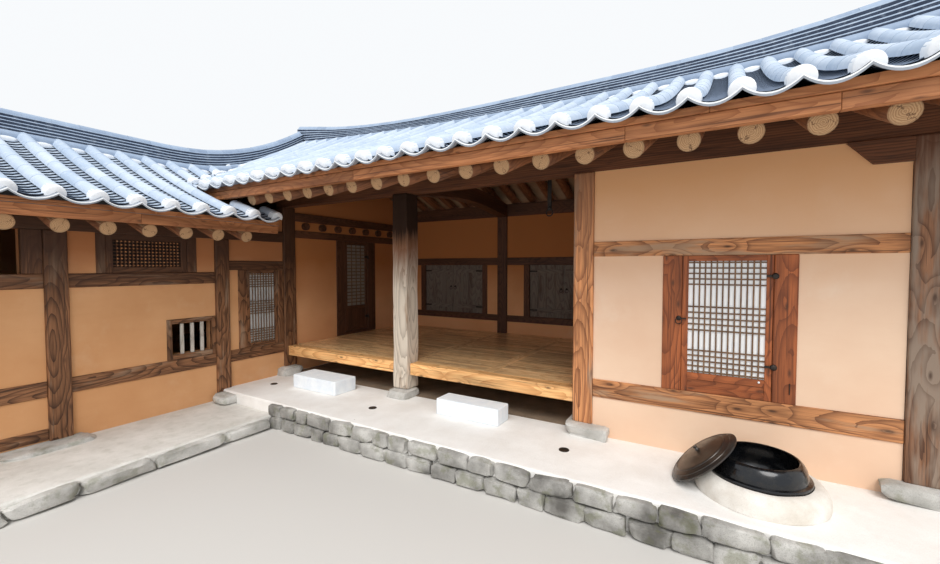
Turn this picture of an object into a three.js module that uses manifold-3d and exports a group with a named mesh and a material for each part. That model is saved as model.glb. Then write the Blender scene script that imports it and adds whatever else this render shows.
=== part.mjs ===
// A hanok house: a main block with an open timber hall and a room, and a lower wing at its left.
// Millimetres, +Z up, +Y into the building. In the sizes below x = 0 is near the room's middle,
// y = 0 is the front face of the main posts and z = 0 is their foot. The group is moved at the
// end, so that the part's origin is the centre of its footprint at ground level.
import * as THREE from 'three';
import { mergeVertices } from 'three/addons/utils/BufferGeometryUtils.js';
import Module from 'manifold-3d';

const wasm = await Module();
wasm.setup();

// Gap between pieces that touch along a cut or a curve
const GAP = 0.3;

// Levels
const GROUND = -400;
const MAIN_PLATFORM_TOP = -110;
const WING_PLATFORM_TOP = -250;
const WING_POST_FOOT = -150;
const FLOOR_TOP = 337;
const FLOOR_BOTTOM = 187;
const PLANK = 40;
const POST_TOP = 2542;
const COURT_BEAM = [1980, 2148];

// Main block: posts in two rows, four across
const POST_X = [-6085, -3630, -1230, 1265];
const FRONT_POST_SIZE = [220, 250, 205, 210];
const BACK_POST = 200;
const BACK_Y = 3080;
const WALL = 140;
const WALL_FACE_Y = 30;
const BACK_WALL_FACE_Y = 3010;
const BEAM_Y = [30, 190];
const BEAM_END_X = 2200;

// Wing: centre line, walls and posts
const WING_X = -7400;
const COURT_FACE_X = -6015;
const COURT_POST_FACE_X = -5975;
const OUTER_FACE_X = 2 * WING_X - COURT_FACE_X;
const COURT_POST_Y = [-960, -2676, -4400];
const COURT_POST = 190;
const WING_END_Y = -4470;
const OUTER_POST_Y = [-4400, -2300, -300, 1400];

// Roofs: distances in plan from the ridge, heights at the eave
const MAIN_RIDGE_Y = 1550;
const MAIN_HALF = 2800;
const MAIN_DECK_HALF = 2610;
const MAIN_EAVE_TOP = 2720;
const MAIN_LIP = 2575;
const MAIN_DECK_EDGE = 2620;
const MAIN_SLOPE = 0.385;
const WING_HALF = 2350;
const WING_DECK_HALF = 2090;
const WING_EAVE_TOP = 2300;
const WING_LIP = 2150;
const WING_DECK_EDGE = 2150;
const WING_SLOPE = 0.372;
const DECK = 100;
const VERGE_X = 2350;
const VERGE_Y = -5300;
const VERGE_INSET = 80;
const RAFTER_R = 70;
const WING_RAFTER_R = 70;
const MAIN_RAFTER_STEP = 355;
const WING_RAFTER_STEP = 364;
const VALLEY_FOOT = [-6190, -1250];
const VALLEY_HEAD_Y = 200;

// Finishes
const finish = (color, roughness, metalness = 0) => (
  new THREE.MeshStandardMaterial({ color, roughness, metalness })
);
const timber = finish(0x7a4526, 0.75);
const oldTimber = finish(0x9b8a78, 0.85);
const planks = finish(0xb9783e, 0.6);
const plaster = finish(0xd9a679, 0.95);
const paper = finish(0xe9e6df, 0.9);
const tile = finish(0x8b9bb0, 0.6);
const stone = finish(0xb9b6ae, 0.9);
const granite = finish(0xc3cbd6, 0.8);
const clay = finish(0xc9c2b2, 0.95);
const castIron = finish(0x14161b, 0.35, 0.6);
const ironLid = finish(0x3b3732, 0.5, 0.4);

const house = new THREE.Group();

// Turning three.js geometry into solids for cutting and joining, and back
function solid(geometry) {
  geometry.deleteAttribute('normal');
  geometry.deleteAttribute('uv');
  const merged = mergeVertices(geometry, 0.001);
  const made = new wasm.Manifold(new wasm.Mesh({
    numProp: 3,
    vertProperties: new Float32Array(merged.attributes.position.array),
    triVerts: new Uint32Array(merged.index.array),
  }));
  return made;
}

function add(name, material, shape) {
  const mesh = shape.getMesh();
  const geometry = new THREE.BufferGeometry();
  geometry.setAttribute('position', new THREE.BufferAttribute(mesh.vertProperties, 3));
  geometry.setIndex(new THREE.BufferAttribute(mesh.triVerts, 1));
  geometry.computeVertexNormals();
  const piece = new THREE.Mesh(geometry, material.clone());
  piece.name = name;
  house.add(piece);
  return piece;
}

const join = (...shapes) => shapes.flat().reduce((a, b) => a.add(b));
const cut = (body, ...tools) => tools.flat().reduce((a, b) => a.subtract(b), body);

// A box between two corners, with an optional margin all round
function box([x0, x1], [y0, y1], [z0, z1], grow = 0) {
  const shape = new THREE.BoxGeometry(x1 - x0 + 2 * grow, y1 - y0 + 2 * grow, z1 - z0 + 2 * grow);
  shape.translate((x0 + x1) / 2, (y0 + y1) / 2, (z0 + z1) / 2);
  return solid(shape);
}

const frame = (bars, grow = 0) => join(bars.map(([x, y, z]) => box(x, y, z, grow)));

// Outlines pushed along x, y or z
function prism(points, depth, across, up, along, start) {
  const outline = new THREE.Shape(points.map(([a, b]) => new THREE.Vector2(a, b)));
  const shape = new THREE.ExtrudeGeometry(outline, { depth, bevelEnabled: false });
  shape.applyMatrix4(new THREE.Matrix4().makeBasis(across, up, along));
  shape.translate(start.x, start.y, start.z);
  return solid(shape);
}

const X = new THREE.Vector3(1, 0, 0);
const Y = new THREE.Vector3(0, 1, 0);
const Z = new THREE.Vector3(0, 0, 1);
const alongX = (points, [x0, x1]) => prism(points, x1 - x0, Y, Z, X, new THREE.Vector3(x0, 0, 0));
const alongY = (points, [y0, y1]) => (
  prism(points, y1 - y0, X, Z, Y.clone().negate(), new THREE.Vector3(0, y1, 0))
);
const alongZ = (points, [z0, z1]) => prism(points, z1 - z0, X, Y, Z, new THREE.Vector3(0, 0, z0));

// A closed sheet over a grid of [x, y, bottom, top] points, rows across and columns along
function sheet(rows) {
  const across = rows[0].length;
  const positions = [];
  rows.forEach((row) => row.forEach(([x, y, bottom]) => positions.push(x, y, bottom)));
  rows.forEach((row) => row.forEach(([x, y, , top]) => positions.push(x, y, top)));
  const half = rows.length * across;
  const faces = [];
  const quad = (a, b, c, d) => faces.push(a, b, c, a, c, d);
  for (let r = 0; r + 1 < rows.length; r += 1) {
    for (let c = 0; c + 1 < across; c += 1) {
      const a = r * across + c;
      quad(a, a + across, a + across + 1, a + 1);
      quad(half + a, half + a + 1, half + a + across + 1, half + a + across);
    }
    const left = r * across;
    const right = left + across - 1;
    quad(left, half + left, half + left + across, left + across);
    quad(right, right + across, half + right + across, half + right);
  }
  const last = half - across;
  for (let c = 0; c + 1 < across; c += 1) {
    quad(c, c + 1, half + c + 1, half + c);
    quad(last + c, half + last + c, half + last + c + 1, last + c + 1);
  }
  const geometry = new THREE.BufferGeometry();
  geometry.setAttribute('position', new THREE.Float32BufferAttribute(positions, 3));
  geometry.setIndex(faces);
  return outward(geometry);
}

// Turns the faces round if they point into the body
function outward(geometry) {
  const p = geometry.attributes.position;
  const index = geometry.index.array;
  const [a, b, c] = [new THREE.Vector3(), new THREE.Vector3(), new THREE.Vector3()];
  let volume = 0;
  for (let i = 0; i < index.length; i += 3) {
    a.fromBufferAttribute(p, index[i]);
    b.fromBufferAttribute(p, index[i + 1]);
    c.fromBufferAttribute(p, index[i + 2]);
    volume += a.dot(b.cross(c));
  }
  if (volume < 0) {
    const turned = [];
    for (let i = 0; i < index.length; i += 3) {
      turned.push(index[i], index[i + 2], index[i + 1]);
    }
    geometry.setIndex(turned);
  }
  return solid(geometry);
}

// An eight-sided round timber from one point to another, with a flat underneath
const FLAT = Math.cos(Math.PI / 8);
function roundTimber(from, to, radius) {
  const along = to.clone().sub(from).normalize();
  const side = along.clone().cross(Z).normalize();
  const bar = new THREE.CylinderGeometry(radius, radius, from.distanceTo(to), 8);
  bar.rotateY(Math.PI / 8);
  bar.applyMatrix4(new THREE.Matrix4().makeBasis(side, along, side.clone().cross(along)));
  const middle = from.clone().add(to).multiplyScalar(0.5);
  bar.translate(middle.x, middle.y, middle.z);
  return solid(bar);
}

// Heights of the roofs. d is the distance in plan from the ridge, s runs from eave 0 to ridge 1
const clamp = (v) => Math.min(1, Math.max(0, v));
const mix = (a, b, t) => a + (b - a) * t;
const range = (from, to, steps) => Array.from({ length: steps + 1 }, (_, i) => mix(from, to, i / steps));

const EAVE_SLOPE = 0.33;
const STEEPENING = 0.000036;
function hollowCurve(eaveTop, half, d) {
  const run = half - d;
  return eaveTop + EAVE_SLOPE * run + STEEPENING * run * run;
}

const RIDGE_LOW_X = -1200;
function mainLift(x, s) {
  const left = clamp((RIDGE_LOW_X - x) / (RIDGE_LOW_X - WING_X));
  const right = clamp((x - RIDGE_LOW_X) / (VERGE_X - RIDGE_LOW_X));
  const atRidge = 270 * left ** 2 + 250 * right ** 3;
  const corner = clamp((RIDGE_LOW_X - x) / (RIDGE_LOW_X - WING_X + WING_HALF));
  const atEave = 200 * corner ** 5 + 200 * right ** 4;
  return mix(atEave, atRidge, s);
}

function mainTop(x, y) {
  const d = Math.abs(y - MAIN_RIDGE_Y);
  return hollowCurve(MAIN_EAVE_TOP, MAIN_HALF, d) + mainLift(x, 1 - d / MAIN_HALF);
}

const mainDeckTop = (y) => MAIN_DECK_EDGE + MAIN_SLOPE * (MAIN_DECK_HALF - Math.abs(y - MAIN_RIDGE_Y));

const hipY = (x) => MAIN_RIDGE_Y + (WING_X - x) * (MAIN_HALF / WING_HALF);

// How far the wing's outer slope has swept up towards the hip at the back
const SWEEP_START_Y = -1000;
const sweep = (x, y) => clamp((y - SWEEP_START_Y) / (hipY(x) - SWEEP_START_Y)) ** 2;

// A wing surface: its level form, swept up on the outer side, and near the ridge on the court side
function swept(level, high, x, y) {
  const d = Math.abs(x - WING_X);
  if (x <= WING_X) {
    return mix(level(d), high(x), sweep(x, y));
  }
  return level(d) + (high(WING_X) - level(0)) * sweep(WING_X, y) * clamp(1 - d / WING_HALF);
}
const wingLevel = (d) => hollowCurve(WING_EAVE_TOP, WING_HALF, d);
const deckLevel = (d) => WING_DECK_EDGE + WING_SLOPE * (WING_DECK_HALF - d);
const wingTop = (x, y) => swept(wingLevel, (hip) => mainTop(hip, hipY(hip)), x, y);
const wingDeckTop = (x, y) => swept(deckLevel, (hip) => mainDeckTop(hipY(hip)), x, y);

// Rafters are let into the clay of the deck. This is how far their undersides lie below its top
const LET_INTO_DECK = 0.9;
const rafterDepth = (radius, slope) => DECK + radius * (LET_INTO_DECK + FLAT * Math.hypot(1, slope));
const MAIN_RAFTER_DEPTH = rafterDepth(RAFTER_R, MAIN_SLOPE);
const WING_RAFTER_DEPTH = rafterDepth(WING_RAFTER_R, WING_SLOPE);
const rafterUnder = (y) => mainDeckTop(y) - MAIN_RAFTER_DEPTH - GAP;

const valleyX = (y) => {
  const t = clamp((y - VALLEY_FOOT[1]) / (VALLEY_HEAD_Y - VALLEY_FOOT[1]));
  return mix(VALLEY_FOOT[0], WING_X, t);
};
const valleyY = (x) => mix(VALLEY_FOOT[1], VALLEY_HEAD_Y, (VALLEY_FOOT[0] - x) / (VALLEY_FOOT[0] - WING_X));

// Stone platforms with the foundation stones of the posts

const PLATFORM_RIGHT_X = 2100;
const PLATFORM_BACK_Y = 3900;
const PLATFORM_FRONT_Y = -1000;
const PLATFORM_SPLIT_X = -6300;
const FOUNDATION = 360;
const FOUNDATION_Y = [95 - FOUNDATION / 2, 95 + FOUNDATION / 2];
const foundation = (x, grow = 0) => (
  box([x - FOUNDATION / 2, x + FOUNDATION / 2], FOUNDATION_Y, [MAIN_PLATFORM_TOP - 10, 0], grow)
);

const mainPlatform = join(
  alongZ([
    [PLATFORM_SPLIT_X, PLATFORM_FRONT_Y + GAP], [-4900, PLATFORM_FRONT_Y + GAP],
    [PLATFORM_RIGHT_X, PLATFORM_FRONT_Y], [PLATFORM_RIGHT_X, PLATFORM_BACK_Y],
    [PLATFORM_SPLIT_X, PLATFORM_BACK_Y],
  ], [GROUND, MAIN_PLATFORM_TOP]),
  POST_X.slice(1).map((x) => foundation(x)),
);

const frontPost = (i) => {
  const half = FRONT_POST_SIZE[i] / 2;
  return [[POST_X[i] - half, POST_X[i] + half], [0, 2 * half], [0, POST_TOP]];
};

// The pot's firebox goes down into the platform
const HEARTH = new THREE.Vector3(250, -440, 0);
const firebox = new THREE.CylinderGeometry(240, 240, 100, 24);
firebox.rotateX(Math.PI / 2);
firebox.translate(HEARTH.x, HEARTH.y, MAIN_PLATFORM_TOP - 45);

const cornerFoot = box(
  [POST_X[0] - 145, POST_X[0] + 185],
  [-115, 215],
  [MAIN_PLATFORM_TOP - 10, 0],
);
const courtWallFoot = [[COURT_FACE_X - WALL, COURT_FACE_X], [WING_END_Y, -GAP]];
add('main_platform', stone, cut(
  join(mainPlatform, cornerFoot),
  box(courtWallFoot[0], courtWallFoot[1], [MAIN_PLATFORM_TOP, 10], GAP),
  solid(firebox),
));

const COURT_FOOT = [MAIN_PLATFORM_TOP, WING_POST_FOOT, WING_POST_FOOT];
const courtFootX = [-6060, -5800];
const courtFootBase = WING_PLATFORM_TOP - 10;
const courtFootStones = [
  [courtFootX, [PLATFORM_FRONT_Y - 130, PLATFORM_FRONT_Y], [courtFootBase, COURT_FOOT[0]]],
  ...COURT_POST_Y.slice(1).map((y) => (
    [courtFootX, [y - 170, y + 170], [courtFootBase, WING_POST_FOOT]]
  )),
];
add('wing_platform', stone, join(
  alongZ([
    [-9300, -5050], [-4550, -5050], [-4620, -3400], [-4900, PLATFORM_FRONT_Y],
    [PLATFORM_SPLIT_X - GAP, PLATFORM_FRONT_Y], [PLATFORM_SPLIT_X - GAP, PLATFORM_BACK_Y],
    [-9300, PLATFORM_BACK_Y],
  ], [GROUND, WING_PLATFORM_TOP]),
  frame(courtFootStones),
));

// Cut granite steps in front of the hall
function stepStone(name, [x0, x1], [y0, y1], top) {
  const edge = 12;
  const side = 20;
  const profile = [
    [y0, MAIN_PLATFORM_TOP], [y1, MAIN_PLATFORM_TOP], [y1 - side, top],
    [y0 + side + edge, top], [y0 + side, top - edge],
  ];
  add(name, granite, alongX(profile, [x0, x1]));
}
stepStone('step_stone_left', [-5240, -4380], [-420, -40], 75);
stepStone('step_stone_right', [-2850, -2040], [-290, -20], 75);

// Clay hearth at the room's foot, its iron cauldron and the lid leaning on it
const POT_R = 330;
const revolve = (profile, sides = 32) => {
  const shape = new THREE.LatheGeometry(profile.map(([r, z]) => new THREE.Vector2(r, z)), sides);
  shape.rotateX(Math.PI / 2);
  return shape;
};
const place = (geometry, at) => {
  geometry.translate(at.x, at.y, at.z);
  return solid(geometry);
};
const FLANGE_Z = 26 + GAP;
const potOutside = [
  [0, -150], [170, -130], [270, -60], [300, FLANGE_Z], [POT_R, FLANGE_Z],
  [POT_R, 46], [302, 52], [290, 120], [255, 165],
];
const potInside = [[238, 160], [270, 112], [278, 20], [250, -50], [150, -110], [0, -125]];
add('cauldron', castIron, place(revolve([...potOutside, ...potInside]), HEARTH.clone().setZ(10)));

const moundProfile = [
  [0, MAIN_PLATFORM_TOP], [430, MAIN_PLATFORM_TOP], [425, -40], [400, 20], [350, 36], [0, 36],
];
const mound = join(
  place(revolve(moundProfile, 28), HEARTH.clone().setZ(0)),
  box([HEARTH.x - 330, HEARTH.x + 330], [-300, WALL_FACE_Y - 1], [MAIN_PLATFORM_TOP, 20]),
);
const potSeat = [[0, -140], [180, -135], [285, -60], [318, 22], [318, 60], [0, 60]];
add('hearth_mound', clay, cut(
  mound,
  place(revolve(potSeat, 28), HEARTH.clone().setZ(8)),
  box([-2000, 2000], [WALL_FACE_Y - GAP, 600], [-300, 400]),
));

const lidProfile = [[0, 0], [290, 0], [292, 14], [200, 55], [90, 74], [26, 78], [22, 110], [0, 112]];
const lidShape = revolve(lidProfile);
lidShape.rotateY(THREE.MathUtils.degToRad(-41));
lidShape.rotateZ(THREE.MathUtils.degToRad(5));
lidShape.computeBoundingBox();
const lidZ = MAIN_PLATFORM_TOP + GAP - lidShape.boundingBox.min.z;
add('cauldron_lid', ironLid, place(lidShape, new THREE.Vector3(-112.5, -465, lidZ)));

// Posts of the main front and the beams above them
['corner_post', 'hall_post', 'room_post_left', 'room_post_right'].forEach((name, i) => {
  const piece = i === 1 ? oldTimber : timber;
  add(name, piece, box(...frontPost(i)));
});

const beamProfile = ([y0, y1]) => [
  [y0, POST_TOP], [y1, POST_TOP], [y1, rafterUnder(y1)], [y0, rafterUnder(y0)],
];
add('front_beam', timber, alongX(beamProfile(BEAM_Y), [POST_X[0] - 115, BEAM_END_X]));

// Arched cross beams from front to back, each with a short post under the ridge purlin
const BACK_BEAM_Y = [BACK_Y - 80, BACK_Y + 80];
const ARCH_ENDS = [BEAM_Y[1], BACK_BEAM_Y[0]];
const archUnder = (y) => {
  const t = (y - ARCH_ENDS[0]) / (ARCH_ENDS[1] - ARCH_ENDS[0]);
  return POST_TOP - 10 + 130 * Math.sin(Math.PI * t);
};
const archDepth = 230;
const PURLIN_Z = [3170, rafterUnder(MAIN_RIDGE_Y - 80)];
const archPoints = () => {
  const lower = range(ARCH_ENDS[0] + GAP, ARCH_ENDS[1] - GAP, 10).map((y) => [y, archUnder(y)]);
  const upper = [...lower].reverse().map(([y, z]) => [y, Math.min(z + archDepth, rafterUnder(y) - 15)]);
  return [...lower, ...upper];
};
function crossBeam(x, width) {
  return join(
    alongX(archPoints(), [x - width / 2, x + width / 2]),
    box([x - 75, x + 75], [MAIN_RIDGE_Y - 80, MAIN_RIDGE_Y + 80], [2800, PURLIN_Z[0] - GAP]),
  );
}
add('hall_cross_beam', timber, cut(
  crossBeam(POST_X[1], 200),
  box([POST_X[1] - 130, POST_X[1] + 130], [-10, 251], [2000, POST_TOP], GAP),
  box([POST_X[1] - 130, POST_X[1] + 130], [BACK_Y - 100, BACK_Y + 100], [2000, POST_TOP], GAP),
));
add('ridge_purlin', timber, alongX([
  [MAIN_RIDGE_Y - 80, PURLIN_Z[0]], [MAIN_RIDGE_Y + 80, PURLIN_Z[0]],
  [MAIN_RIDGE_Y + 80, PURLIN_Z[1]], [MAIN_RIDGE_Y, rafterUnder(MAIN_RIDGE_Y)],
  [MAIN_RIDGE_Y - 80, PURLIN_Z[1]],
], [POST_X[0] - 60, BEAM_END_X]));

// Floors
const BACK_POST_FACE_Y = BACK_Y - BACK_POST / 2;
const hallX = [COURT_FACE_X, POST_X[2] - WALL / 2];
const joistX = [-5500, -4880, -4260, -3000, -2400, -1800];
const hallFloor = join(
  box(hallX, [50, BACK_WALL_FACE_Y], [FLOOR_TOP - PLANK, FLOOR_TOP]),
  box(hallX, [50, 130], [FLOOR_BOTTOM, FLOOR_TOP - 1]),
  box(hallX, [BACK_WALL_FACE_Y - 100, BACK_WALL_FACE_Y], [FLOOR_BOTTOM, FLOOR_TOP - 1]),
  joistX.map((x) => box([x - 50, x + 50], [60, 3000], [FLOOR_BOTTOM, FLOOR_TOP - 1])),
  box([POST_X[1] - 60, POST_X[1] + 60], [60, 3000], [FLOOR_BOTTOM, FLOOR_TOP - 1]),
);
const backPosts = POST_X.map((x) => [
  [x - BACK_POST / 2, x + BACK_POST / 2],
  [BACK_POST_FACE_Y, BACK_Y + BACK_POST / 2],
  [MAIN_PLATFORM_TOP, POST_TOP],
]);
add('hall_floor', planks, cut(
  hallFloor,
  [0, 1, 2].map((i) => box(...frontPost(i), GAP)),
  backPosts.slice(0, 3).map((bar) => box(...bar, GAP)),
));
const roomX = [POST_X[2] + WALL / 2, POST_X[3] - WALL / 2];
add('room_floor', planks, cut(
  box(roomX, [WALL_FACE_Y + WALL, BACK_WALL_FACE_Y], [FLOOR_BOTTOM, FLOOR_TOP]),
  box(...frontPost(2), GAP),
  box(...frontPost(3), GAP),
  backPosts.slice(2).map((bar) => box(...bar, GAP)),
));
add('wing_floor', planks, cut(
  box(
    [OUTER_FACE_X + WALL, COURT_FACE_X - WALL],
    [WING_END_Y + WALL, BACK_WALL_FACE_Y],
    [FLOOR_BOTTOM, FLOOR_TOP],
  ),
  box(...frontPost(0), GAP),
  box(...backPosts[0], GAP),
));

// Room front: plaster wall, timber rails with the window posts, and the window leaf
const FRAME_PROUD = 15;
const LET_IN = 60;
const roomFrontX = [POST_X[2] + FRONT_POST_SIZE[2] / 2, POST_X[3] - FRONT_POST_SIZE[3] / 2];
const frontFrameY = [WALL_FACE_Y - FRAME_PROUD, WALL_FACE_Y + LET_IN];
const WINDOW = { x: [-330, 355], z: [466, 1700], left: -489, right: 517 };
const roomRails = [
  [roomFrontX, frontFrameY, [288, 466]],
  [roomFrontX, frontFrameY, [1700, 1844]],
  [[WINDOW.left, WINDOW.x[0]], frontFrameY, [465, 1701]],
  [[WINDOW.x[1], WINDOW.right], frontFrameY, [465, 1701]],
];
add('room_front_wall', plaster, cut(
  box(roomFrontX, [WALL_FACE_Y, WALL_FACE_Y + WALL], [MAIN_PLATFORM_TOP, POST_TOP]),
  frame(roomRails, GAP),
  box(WINDOW.x, [0, 300], WINDOW.z),
  foundation(POST_X[2], GAP),
  foundation(POST_X[3], GAP),
));
add('room_front_frame', timber, frame(roomRails));

// A leaf of stiles and rails round a panel that is set back from both faces
function leaf({ across, up, depth, stile, rails, axis }) {
  const sized = (a, d, z) => (axis === 'x' ? box(a, d, z) : box(d, a, z));
  const recess = 14;
  const fields = [];
  const edges = [up[0], ...rails.flat(), up[1]];
  for (let i = 0; i < edges.length; i += 2) {
    const low = edges[i] + (i === 0 ? stile : 0);
    const high = edges[i + 1] - (i + 2 === edges.length ? stile : 0);
    const field = [across[0] + stile, across[1] - stile];
    fields.push(sized(field, [depth[0] - 5, depth[0] + recess], [low, high]));
    fields.push(sized(field, [depth[1] - recess, depth[1] + 5], [low, high]));
  }
  return cut(sized(across, depth, up), fields);
}
add('room_window', paper, leaf({
  across: [WINDOW.x[0] + GAP, WINDOW.x[1] - GAP],
  up: [WINDOW.z[0] + GAP, WINDOW.z[1] - GAP],
  depth: [WALL_FACE_Y, WALL_FACE_Y + 40],
  stile: 50,
  rails: [[580, 640]],
  axis: 'x',
}));

// The hall's left wall, with its side door
const DOOR = { y: [1280, 1870], frameY: [1087, 2078], z: [397, 2067] };
const wallX = [COURT_FACE_X - WALL, COURT_FACE_X];
const hallWallY = [FRONT_POST_SIZE[0], BACK_POST_FACE_Y];
add('hall_side_wall_front', plaster, alongX([
  [hallWallY[0], MAIN_PLATFORM_TOP], [DOOR.frameY[1], MAIN_PLATFORM_TOP],
  [DOOR.frameY[1], FLOOR_TOP], [DOOR.frameY[0], FLOOR_TOP],
  [DOOR.frameY[0], DOOR.z[1]], [hallWallY[0], DOOR.z[1]],
], wallX));
add('hall_side_wall_back', plaster, box(
  wallX,
  [DOOR.frameY[1], hallWallY[1]],
  [MAIN_PLATFORM_TOP, DOOR.z[1]],
));
const LINTEL_Z = [DOOR.z[1], 2190];
const sideFrameX = [COURT_FACE_X - WALL, COURT_FACE_X + 10];
const gable = (x, [y0, y1], bottom) => {
  const line = range(y0, y1, 12).map((y) => [y, rafterUnder(y) - 3]);
  const peak = [MAIN_RIDGE_Y, rafterUnder(MAIN_RIDGE_Y) - 3];
  const top = [...line.filter(([y]) => y < MAIN_RIDGE_Y), peak, ...line.filter(([y]) => y > MAIN_RIDGE_Y)];
  return alongX([[y0, bottom], [y1, bottom], ...top.reverse()], x);
};
const purlinRoom = box([-9000, 3000], [MAIN_RIDGE_Y - 80, MAIN_RIDGE_Y + 80], [PURLIN_Z[0], 3600], GAP);
const beamRoom = (y) => box([-9000, 3000], y, [POST_TOP, 3000], GAP);
add('hall_side_wall_over', plaster, cut(
  gable(wallX, hallWallY, LINTEL_Z[1]),
  purlinRoom,
  beamRoom(BEAM_Y),
  beamRoom(BACK_BEAM_Y),
));
const jambs = [
  [sideFrameX, [DOOR.frameY[0], DOOR.y[0]], [FLOOR_TOP, DOOR.z[1] + 1]],
  [sideFrameX, [DOOR.y[1], DOOR.frameY[1]], [FLOOR_TOP, DOOR.z[1] + 1]],
  [sideFrameX, [DOOR.y[0] - 1, DOOR.y[1] + 1], [FLOOR_TOP, DOOR.z[0]]],
  [sideFrameX, hallWallY, LINTEL_Z],
];
// Two iron pintles on the frame's back jamb carry the leaf
const HINGE = { x: COURT_FACE_X + 25, y: DOOR.y[1] - 8, z: [600, 1750] };
const PIN_R = 5;
const KNUCKLE_R = 11;
const pin = (z, radius, [low, high], sides) => {
  const bar = new THREE.CylinderGeometry(radius, radius, high - low, sides);
  bar.rotateX(Math.PI / 2);
  return place(bar, new THREE.Vector3(HINGE.x, HINGE.y, z + (low + high) / 2));
};
const faceX = sideFrameX[1];
const pintles = HINGE.z.flatMap((z) => [
  box([faceX - 1, HINGE.x + 8], [HINGE.y - 4, HINGE.y + 30], [z, z + 16]),
  pin(z, PIN_R, [10, 70], 12),
]);
add('hall_door_frame', timber, join(frame(jambs), pintles));

const leafX = [faceX - 45, faceX - 5];
const doorLeaf = leaf({
  across: [DOOR.y[0] + 5, DOOR.y[1] - 5],
  up: [DOOR.z[0] + 5, DOOR.z[1] - 6],
  depth: leafX,
  stile: 60,
  rails: [[810, 870]],
  axis: 'y',
});
const knuckles = HINGE.z.flatMap((z) => [
  pin(z, KNUCKLE_R, [16 + GAP, 62], 12),
  box([leafX[1] - 1, HINGE.x], [HINGE.y - 70, HINGE.y], [z + 16 + GAP, z + 62]),
]);
const bores = HINGE.z.map((z) => pin(z, PIN_R + 0.6, [0, 80], 12));
add('hall_door', timber, cut(join(doorLeaf, knuckles), bores));

// The wall between hall and room, with a matching door that stays shut
const roomWallX = [POST_X[2] - WALL / 2, POST_X[2] + WALL / 2];
const roomWallY = [FRONT_POST_SIZE[2], BACK_POST_FACE_Y];
const roomDoorX = [roomWallX[0] - 10, roomWallX[0] + 90];
const roomDoorBars = [
  [roomDoorX, [DOOR.frameY[0], DOOR.y[0]], [FLOOR_TOP, DOOR.z[1] + 1]],
  [roomDoorX, [DOOR.y[1], DOOR.frameY[1]], [FLOOR_TOP, DOOR.z[1] + 1]],
  [roomDoorX, [DOOR.y[0] - 1, DOOR.y[1] + 1], [FLOOR_TOP, DOOR.z[0]]],
  [roomDoorX, roomWallY, LINTEL_Z],
];
add('room_side_wall', plaster, cut(
  gable(roomWallX, roomWallY, MAIN_PLATFORM_TOP),
  frame(roomDoorBars, GAP),
  box([POST_X[2] - 300, POST_X[2] + 300], DOOR.y, [DOOR.z[0], DOOR.z[1]]),
  purlinRoom,
  foundation(POST_X[2], GAP),
));
add('room_door', timber, join(
  frame(roomDoorBars),
  leaf({
    across: [DOOR.y[0] - 1, DOOR.y[1] + 1],
    up: [DOOR.z[0] - 1, DOOR.z[1] + 1],
    depth: [roomWallX[0] + 10, roomWallX[0] + 50],
    stile: 60,
    rails: [[810, 870]],
    axis: 'y',
  }),
));

// Gable wall at the house's right end
const endWallX = [POST_X[3] - WALL / 2, POST_X[3] + WALL / 2];
const endWallY = [FRONT_POST_SIZE[3], BACK_POST_FACE_Y];
const endFrameX = [endWallX[1] - LET_IN, endWallX[1] + FRAME_PROUD];
const endBars = [
  [endFrameX, endWallY, [288, 466]],
  [endFrameX, endWallY, [1700, 1844]],
  [endFrameX, endWallY, [POST_TOP - 60, POST_TOP + 160]],
  [endFrameX, [MAIN_RIDGE_Y - 90, MAIN_RIDGE_Y + 90], [287, POST_TOP - 59]],
  [endFrameX, [MAIN_RIDGE_Y - 75, MAIN_RIDGE_Y + 75], [POST_TOP + 159, PURLIN_Z[0] - GAP]],
];
add('end_wall', plaster, cut(
  gable(endWallX, endWallY, MAIN_PLATFORM_TOP),
  frame(endBars, GAP),
  purlinRoom,
  foundation(POST_X[3], GAP),
));
add('end_wall_frame', timber, frame(endBars));

// Back: posts, rails and beam in one timber frame, plaster panels and shuttered windows
const backWallY = [BACK_WALL_FACE_Y, BACK_WALL_FACE_Y + WALL];
const railDepths = [
  [backWallY[0] - FRAME_PROUD, backWallY[0] + 40],
  [backWallY[1] - 40, backWallY[1] + FRAME_PROUD],
];
const bayX = (i) => [POST_X[i] + BACK_POST / 2, POST_X[i + 1] - BACK_POST / 2];
const SHUTTERS = [[-5450, -4070], [-3080, -1780]];
const SHUTTER_Z = [680, 1630];
const SHUTTER_JAMB = 110;
const backRails = [];
[0, 1].forEach((i) => railDepths.forEach((y) => {
  backRails.push([[bayX(i)[0] - 1, bayX(i)[1] + 1], y, [560, SHUTTER_Z[0]]]);
  backRails.push([[bayX(i)[0] - 1, bayX(i)[1] + 1], y, [SHUTTER_Z[1], 1770]]);
}));
backRails.push([[bayX(2)[0] - 1, bayX(2)[1] + 1], railDepths[1], [288, 466]]);
backRails.push([[bayX(2)[0] - 1, bayX(2)[1] + 1], railDepths[1], [1700, 1844]]);
const fullDepth = [railDepths[0][0], railDepths[1][1]];
SHUTTERS.forEach(([x0, x1]) => {
  backRails.push([[x0 - SHUTTER_JAMB, x0], fullDepth, [SHUTTER_Z[0] - 1, SHUTTER_Z[1] + 1]]);
  backRails.push([[x1, x1 + SHUTTER_JAMB], fullDepth, [SHUTTER_Z[0] - 1, SHUTTER_Z[1] + 1]]);
});
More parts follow.
